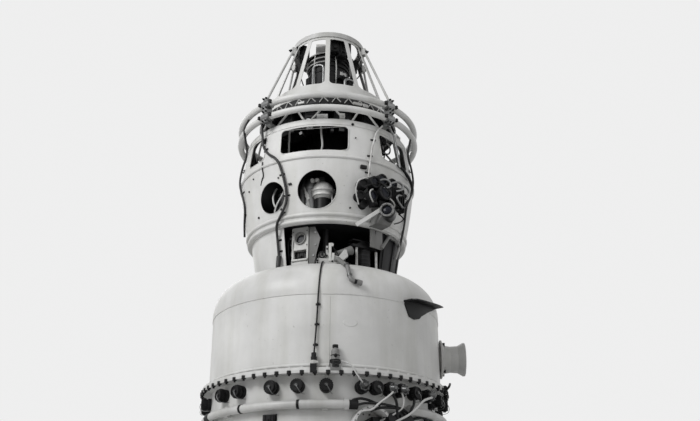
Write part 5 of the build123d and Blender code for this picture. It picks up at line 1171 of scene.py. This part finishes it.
class CAPSULE_OT_shell_trim(bpy.types.Operator):
    """Adds cable clips, screws and short leads on the upper shells"""
    bl_idname = "capsule.shell_trim"
    bl_label = "Shell trim"

    def execute(self, context):
        screw = context.scene.capsule_fasteners.screw_radius
        saddles = (  # azimuth, height, turn
            (-43.5, 2.260, 30), (-29.6, 2.080, 5), (-26.6, 1.960, 0), (-31.0, 1.868, 30), (30.6, 2.300, 10),
            (27.2, 2.190, 10), (26.0, 2.090, 0), (-75.5, 2.240, 5), (-73.0, 2.100, -10), (-74.5, 1.960, 20),
            (71.8, 2.240, 0), (67.5, 2.070, 10), (66.4, 1.930, 0), (-37.6, 1.740, 0), (-37.6, 1.680, 0),
        )
        studs = (  # azimuth, height, radius
            (-32.5, 2.067, 0.005), (-31.7, 1.891, 0.006), (-53.6, 1.891, 0.006), (-62.3, 2.066, 0.006),
            (-55.2, 2.118, 0.005), (16.5, 2.377, 0.008), (15.3, 1.884, 0.005), (17.9, 2.288, 0.004),
        )
        clips = bmesh.new()
        for azimuth, height, turn in saddles:
            at = hull_frame(azimuth, height) @ spun(turn)
            add_block(clips, at, 0.034, 0.010, 0.003)
            add_heads(clips, at, (-0.013, 0.013), (0,), 0.003, screw * 0.8)
        for azimuth, height, radius in studs:
            add_disc(clips, hull_frame(azimuth, height), radius, 0.006, 8)
        add_block(clips, hull_frame(-24.2, 2.018), 0.018, 0.010, 0.010)
        add_block(clips, hull_frame(22.6, 2.114), 0.034, 0.018, 0.016)
        new_piece("shell_clips", clips, "black enamel", 0.0005)

        rows = ((2.392, 10), (2.146, 12), (2.174, 12))  # height, degrees between screws
        bit_piece("shell_screws", [
            Bit("disc", azimuth, height, hull_radius(height) - SUNK, 0.0030, 0.0016, 0.0026)
            for height, step in rows for azimuth in range(0, 360, step)
        ], "white enamel")
        leads("left_thin_leads", [
            [(0.503, -45.3, 2.190), (0.508, -45.3, 2.160), (0.500, -44.0, 2.104), (0.496, -46.4, 2.087),
             (0.488, -48.0, 2.060)],
        ], 0.0030, "rubber")
        leads("right_cluster_cable", [
            [(0.500, 52.0, 2.205), (0.515, 53.4, 2.189), (0.522, 63.1, 2.149), (0.526, 66.6, 2.100),
             (0.524, 60.9, 2.029), (0.522, 56.4, 1.972), (0.500, 54.0, 1.950)],
        ], 0.0085, "rubber")
        leads("right_grey_pipe", [
            [(0.490, 46.0, 2.402), (0.497, 48.1, 2.393), (0.503, 50.1, 2.291), (0.512, 50.9, 2.217),
             (0.512, 51.5, 2.184)],
        ], 0.0065, "bare metal")
        return {"FINISHED"}


class CAPSULE_OT_hoop_trim(bpy.types.Operator):
    """Adds clamp bolts, deck unit faces and the small gear between the hoops"""
    bl_idname = "capsule.hoop_trim"
    bl_label = "Hoop trim"

    def execute(self, context):
        screw = context.scene.capsule_fasteners.screw_radius
        nuts = bmesh.new()
        for azimuth in CLAMP_AZ:
            for height in (2.4185, 2.477, 2.501, 2.560):
                at = wall_frame(0.539, azimuth, height)
                for side in (-0.011, 0.011):
                    add_disc(nuts, at @ shift(side, 0, 0), 0.0062, 0.006, HEX)
                    add_disc(nuts, at @ shift(side, 0, 0), 0.0030, 0.011, 8)
            for height in (2.448, 2.530):
                for turn in (-4.2, 4.2):
                    add_block(nuts, wall_frame(0.532, azimuth + turn, height), 0.014, 0.018, 0.016)
        new_piece("clamp_nuts", nuts, "black enamel", 0.0005)

        plate = 0.005
        faces, sockets, looms = bmesh.new(), bmesh.new(), []
        for count, azimuth in enumerate(DECK_UNIT_AZ):
            side = 1 if count % 2 else -1
            at = wall_frame(0.332, azimuth, 2.502)
            add_block(faces, at, 0.090, 0.084, plate)
            add_heads(faces, at, (-0.041, 0.041), (-0.038, 0.038), plate, screw)
            for row in range(4):
                add_block(faces, at @ shift(0, -0.030 + 0.02 * row, plate), 0.066, 0.004, 0.006)
            socket = at @ shift(side * 0.022, -0.036, 0.004)
            add_disc(sockets, socket, 0.012, 0.018, 16)
            add_ring(sockets, socket, 0.0145, 0.011, 0.012, 16)
            start, end = azimuth + side * 3.8, azimuth + DECK_UNIT_STEP - side * 3.8
            looms.append([
                (0.352, start, 2.466), (0.372, azimuth + 6, 2.452), (0.376, azimuth + 15, 2.446),
                (0.372, azimuth + 24, 2.452), (0.352, end, 2.466),
            ])
        new_piece("deck_unit_faces", faces, "dark enamel", 0.0008)
        new_piece("deck_unit_sockets", sockets, "bare metal")
        leads("deck_unit_looms", looms, 0.0046, "pale sleeve")

        pale = bmesh.new()
        add_bits(pale, [
            Bit("block", 24.0, 2.553, 0.398, 0.052, 0.016, 0.016),
            Bit("block", 31.0, 2.553, 0.398, 0.030, 0.020, 0.018),
            Bit("block", -22.0, 2.553, 0.398, 0.040, 0.014, 0.014),
            Bit("block", -60.0, 2.553, 0.398, 0.050, 0.016, 0.016),
        ])
        rim_z = HULL[-1][0]
        for azimuth, width, tall in (
            (-4.0, 0.060, 0.036), (10.0, 0.026, 0.046), (62.0, 0.06, 0.036), (100.0, 0.06, 0.036),
            (165.0, 0.06, 0.036), (-100.0, 0.06, 0.036),
        ):
            at = wall_frame(0.440, azimuth, rim_z + tall / 2)
            add_block(pale, at, width, tall, 0.020)
            add_disc(pale, at @ shift(0, 0, 0.020), tall * 0.3, 0.006, 16)
            add_disc(pale, at @ shift(0, 0, 0.026), tall * 0.14, 0.006, HEX)
        new_piece("rim_blocks", pale, "pale enamel", 0.001)
        return {"FINISHED"}


class CAPSULE_OT_cage_trim(bpy.types.Operator):
    """Adds the cage's nuts, drum hardware, top gear and leads"""
    bl_idname = "capsule.cage_trim"
    bl_label = "Cage trim"

    def execute(self, context):
        screw = context.scene.capsule_fasteners.screw_radius
        self.fasten_cage(screw)
        self.dress_drum(screw)
        self.fill_top()
        self.trim_drum()
        self.seal_foot(screw)
        return {"FINISHED"}

    def fasten_cage(self, screw):
        """Nuts and plates at the struts' heads and screws in the top ring."""
        strut_z = 3.078
        nuts = bmesh.new()
        for azimuth in STRUT_TOP_AZ:
            at = wall_frame(0.250, azimuth, strut_z)
            add_disc(nuts, at, 0.011, 0.010, HEX)
            add_disc(nuts, at, 0.005, 0.018, 10)
            add_block(nuts, wall_frame(0.217, azimuth, strut_z), 0.042, 0.060, 0.006)
            plate = wall_frame(0.222, azimuth, strut_z)
            add_heads(nuts, plate, (-0.016, 0.016), (-0.024, 0.024), 0, 0.004, 0.004)
        for azimuth in range(5, 365, 15):
            add_disc(nuts, upright(0.203, azimuth, CAD_HIGH.z), screw * 1.3, 0.005, HEX)
        new_piece("cage_nuts", nuts, "black enamel", 0.0005)

    def dress_drum(self, screw):
        """Rings, screws and units on the drum."""
        wide, slim = 0.146, 0.120
        drum = bmesh.new()
        for height, radius in ((2.600, wide), (2.700, wide), (2.790, slim), (2.880, slim)):
            for step in range(16):
                add_disc(drum, wall_frame(radius - SUNK, step * 22.5 + 6, height), screw, 0.004, HEX)
        for height, radius in ((2.640, wide), (2.735, wide), (2.830, slim), (2.930, slim)):
            add_ring(drum, shift(0, 0, height), radius + 0.004, radius - 0.003, 0.006, 48)
        add_bits(drum, [
            Bit("unit", 35.0, 2.895, 0.118, 0.060, 0.050, 0.034),
            Bit("unit", 62.0, 2.870, 0.118, 0.046, 0.060, 0.040),
            Bit("unit", -52.0, 2.860, 0.118, 0.050, 0.070, 0.040),
            Bit("unit", 150.0, 2.860, 0.118, 0.060, 0.080, 0.034),
            Bit("unit", -140.0, 2.860, 0.118, 0.060, 0.080, 0.034),
            Bit("unit", 5.0, 2.830, 0.118, 0.040, 0.100, 0.026),
        ])
        new_piece("drum_hardware", drum, "dark enamel", 0.0008)

    def fill_top(self):
        """The units hung from the top ring and the gear on the drum's head."""
        deck = shift(0, 0, 3.062)
        top = bmesh.new()
        add_unit(top, deck @ shift(0.058, -0.040, 0), 0.088, 0.120, 0.070)
        add_unit(top, deck @ shift(-0.020, 0.070, 0), 0.070, 0.060, 0.044)
        add_turned(top, deck @ shift(-0.064, 0.036, 0), [
            (0.0, 0.0), (0.030, 0.0), (0.030, 0.040), (0.022, 0.052), (0.0, 0.056),
        ], 32)
        for azimuth, height, width, tall in (
            (11.5, 3.072, 0.052, 0.096), (27.0, 3.060, 0.048, 0.116), (41.0, 3.078, 0.036, 0.084),
            (-63.0, 3.066, 0.060, 0.100), (118.0, 3.070, 0.060, 0.090), (196.0, 3.070, 0.060, 0.090),
        ):
            add_unit(top, wall_frame(0.150, azimuth, height), width, tall, 0.040)
            add_block(top, wall_frame(0.180, azimuth, 3.118), width * 0.6, 0.020, 0.028)
        new_piece("cage_top_gear", top, "black enamel", 0.001)
        block = bmesh.new()
        add_block(block, deck @ shift(-0.050, -0.078, 0.046), 0.056, 0.030, 0.030)
        add_block(block, deck @ shift(-0.050, -0.078, 0.030), 0.046, 0.022, 0.016)
        new_piece("cage_white_block", block, "white enamel", 0.001)

    def trim_drum(self):
        """Bands, a knob and a patch on the drum, and the leads that run down it."""
        leads("drum_pale_bands", [
            arc_line(0.1325, height, -100.0, -6.0, 5.0) for height in (3.052, 3.020, 2.990)
        ], 0.0042, "pale enamel")
        bit_piece("drum_knob", [
            Bit("disc", 60.0, 2.905, 0.160, 0.014, 0.014, 0.012),
            Bit("disc", 60.0, 2.905, 0.172, 0.020, 0.017, 0.014),
        ], "rubber", 0.001)
        patch = bmesh.new()
        at = wall_frame(0.153, 35.0, 2.900)
        add_block(patch, at, 0.044, 0.022, 0.004)
        add_circle_of(patch, at @ shift(0, 0, 0.004), 0.015, 4, 0.003, CAP, 45)
        new_piece("drum_patch", patch, "white enamel", 0.0006)
        leads("drum_leads", [
            [(0.126, -40.0, 3.060), (0.136, -40.0, 3.000), (0.130, -42.0, 2.900), (0.132, -38.0, 2.800),
             (0.152, -40.0, 2.700), (0.156, -40.0, 2.570)],
            [(0.126, 20.0, 3.060), (0.138, 19.0, 3.000), (0.130, 22.0, 2.920), (0.128, 18.0, 2.780),
             (0.154, 20.0, 2.690), (0.158, 22.0, 2.570)],
            *(
                [(0.126, azimuth, 3.060), (0.138, azimuth + 2, 2.980), (0.130, azimuth - 2, 2.860),
                 (0.154, azimuth, 2.700), (0.158, azimuth + 2, 2.570)]
                for azimuth in (90.0, 200.0)
            ),
        ], 0.0040, "pale sleeve")
        leads("cage_side_leads", [
            [(0.205, -62.0, 3.050), (0.240, -50.0, 2.960), (0.262, -42.0, 2.860), (0.180, -44.0, 2.740),
             (0.158, -46.0, 2.690)],
            [(0.205, 62.0, 3.050), (0.236, 58.0, 2.980), (0.250, 52.0, 2.900), (0.200, 60.0, 2.880),
             (0.170, 61.0, 2.890)],
        ], 0.0034, "rubber")

    def seal_foot(self, screw):
        """The dark seal under the cage's foot, the zigzag wire on it and the bolts over it."""
        seal = bmesh.new()
        add_turned(seal, Matrix.Identity(4), [
            (0.386, 2.538), (0.4035, 2.540), (0.4045, 2.562), (0.3955, 2.588), (0.3925, 2.588),
            (0.398, 2.562), (0.3985, 2.545), (0.386, 2.543), (0.386, 2.538),
        ], 96)
        new_piece("cage_foot_seal", seal, "black enamel")
        zigzag = []
        for start in range(3, 363, 10):
            peak = (0.4085, start + 3.2, 2.578)
            zigzag += [[(0.4075, start, 2.545), peak], [peak, (0.4075, start + 7.0, 2.549)]]
        leads("cage_foot_zigzag", zigzag, 0.0027, "pale sleeve")
        bolts, count = bmesh.new(), 28
        for step in range(count):
            add_disc(bolts, wall_frame(0.3845, step * 360 / count, 2.588), screw, 0.008, HEX)
        new_piece("cage_skirt_bolts", bolts, "pale enamel")


class Lamp(NamedTuple):
    """An area lamp: metres, its side in metres and watts."""
    name: str
    place: tuple
    size: float
    power: float


LAMPS = (
    Lamp("key", (-3.8, -4.0, 4.9), 2.4, 250),
    Lamp("fill", (4.6, -3.0, 2.2), 3.2, 22),
    Lamp("back", (-1.5, 4.4, 4.4), 3.0, 38),
)


class CAPSULE_OT_stage(bpy.types.Operator):
    """Sets the floor, the backdrop, the lamps and the camera"""
    bl_idname = "capsule.stage"
    bl_label = "Stage"

    def execute(self, context):
        settings = context.scene.capsule_stage
        self.lay_floor(context.scene, tuple(settings.floor_grey))
        self.light_world(context.scene)
        self.light_lamps(context.scene, Vector((0, 0, 1.7)))
        self.set_camera(context.scene, settings)
        context.scene.view_settings.view_transform = "Standard"
        return {"FINISHED"}

    def lay_floor(self, scene, colour):
        """A plain floor that glows a little for the camera, so its far part stays pale."""
        bm = bmesh.new()
        bmesh.ops.create_grid(bm, x_segments=1, y_segments=1, size=30)
        mesh = bpy.data.meshes.new("floor")
        bm.to_mesh(mesh)
        bm.free()
        floor = bpy.data.objects.new("floor", mesh)
        scene.collection.objects.link(floor)
        paint = Finish("floor paint")
        mottle = paint.stepped(paint.noise(1.5, 4), 0.3, 0.7, scaled(colour, 0.97), colour)
        seen = paint.add("LightPath", {}).outputs["Is Camera Ray"]
        glow = paint.maths("MULTIPLY", seen, 0.13)
        paint.set(Base_Color=mottle, Roughness=0.9, Emission_Color=(1, 1, 1, 1), Emission_Strength=glow)
        mesh.materials.append(paint.material)

    def light_world(self, scene):
        """A pale backdrop for the camera and for gloss and glass, and a dimmer fill for the rest."""
        scene.world = bpy.data.worlds.new("studio")
        scene.world.use_nodes = True
        studio = Graph(scene.world.node_tree)
        studio.nodes.clear()
        backdrop = studio.add("Background", {"Color": (0.86, 0.86, 0.86, 1)})
        fill = studio.add("Background", {"Color": (1, 1, 1, 1), "Strength": 0.40})
        path = studio.add("LightPath", {})
        seen = path.outputs["Is Camera Ray"]
        for ray in ("Is Glossy Ray", "Is Transmission Ray"):
            seen = studio.maths("MAXIMUM", seen, path.outputs[ray])
        blend = studio.add("MixShader", {
            "Fac": seen, 1: fill.outputs["Background"], 2: backdrop.outputs["Background"],
        })
        studio.add("OutputWorld", {"Surface": blend.outputs["Shader"]})

    def light_lamps(self, scene, target):
        for lamp in LAMPS:
            light = bpy.data.lights.new(lamp.name, "AREA")
            light.size = lamp.size
            light.energy = lamp.power
            aim = target - Vector(lamp.place)
            self.stand(scene, light, lamp.place, aim)

    def set_camera(self, scene, settings):
        camera = bpy.data.cameras.new("camera")
        camera.lens = settings.lens
        camera.sensor_width = 36
        camera.clip_end = 200
        pitch, yaw = settings.camera_pitch, settings.camera_yaw
        aim = Vector((math.sin(yaw) * math.cos(pitch), math.cos(yaw) * math.cos(pitch), math.sin(pitch)))
        scene.camera = self.stand(scene, camera, settings.camera_place, aim)

    def stand(self, scene, data, place, aim):
        """Stands a lamp or camera at a place, looking along aim."""
        thing = bpy.data.objects.new(data.name, data)
        thing.location = place
        thing.rotation_euler = aim.to_track_quat("-Z", "Y").to_euler()
        scene.collection.objects.link(thing)
        return thing


class CAPSULE_PT_panel(bpy.types.Panel):
    """Lists the capsule's settings and steps"""
    bl_idname = "CAPSULE_PT_panel"
    bl_label = "Space capsule"
    bl_space_type = "VIEW_3D"
    bl_region_type = "UI"
    bl_category = "Capsule"

    def draw(self, context):
        for name in GROUPS:
            group = getattr(context.scene, name)
            box = self.layout.box()
            for key in group.__annotations__:
                box.prop(group, key)
        for step in STEPS:
            self.layout.operator(step.bl_idname)


GROUPS = {
    "capsule_finish": CapsuleFinish,
    "capsule_fasteners": CapsuleFasteners,
    "capsule_stage": CapsuleStage,
}
STEPS = (
    CAPSULE_OT_finishes, CAPSULE_OT_flange_bolts, CAPSULE_OT_connectors, CAPSULE_OT_skirt_trim,
    CAPSULE_OT_cylinder_trim, CAPSULE_OT_bay, CAPSULE_OT_fitting_trim, CAPSULE_OT_cluster,
    CAPSULE_OT_openings, CAPSULE_OT_shell_trim, CAPSULE_OT_hoop_trim, CAPSULE_OT_cage_trim,
    CAPSULE_OT_stage,
)


def register():
    for group in (*GROUPS.values(), *STEPS, CAPSULE_PT_panel):
        bpy.utils.register_class(group)
    for name, group in GROUPS.items():
        setattr(bpy.types.Scene, name, PointerProperty(type=group))


def unregister():
    for name in GROUPS:
        delattr(bpy.types.Scene, name)
    for group in (CAPSULE_PT_panel, *reversed(STEPS), *GROUPS.values()):
        bpy.utils.unregister_class(group)


def main():
    register()
    for step in STEPS:
        area, name = step.bl_idname.split(".")
        getattr(getattr(bpy.ops, area), name)()


if __name__ == "__main__":
    main()
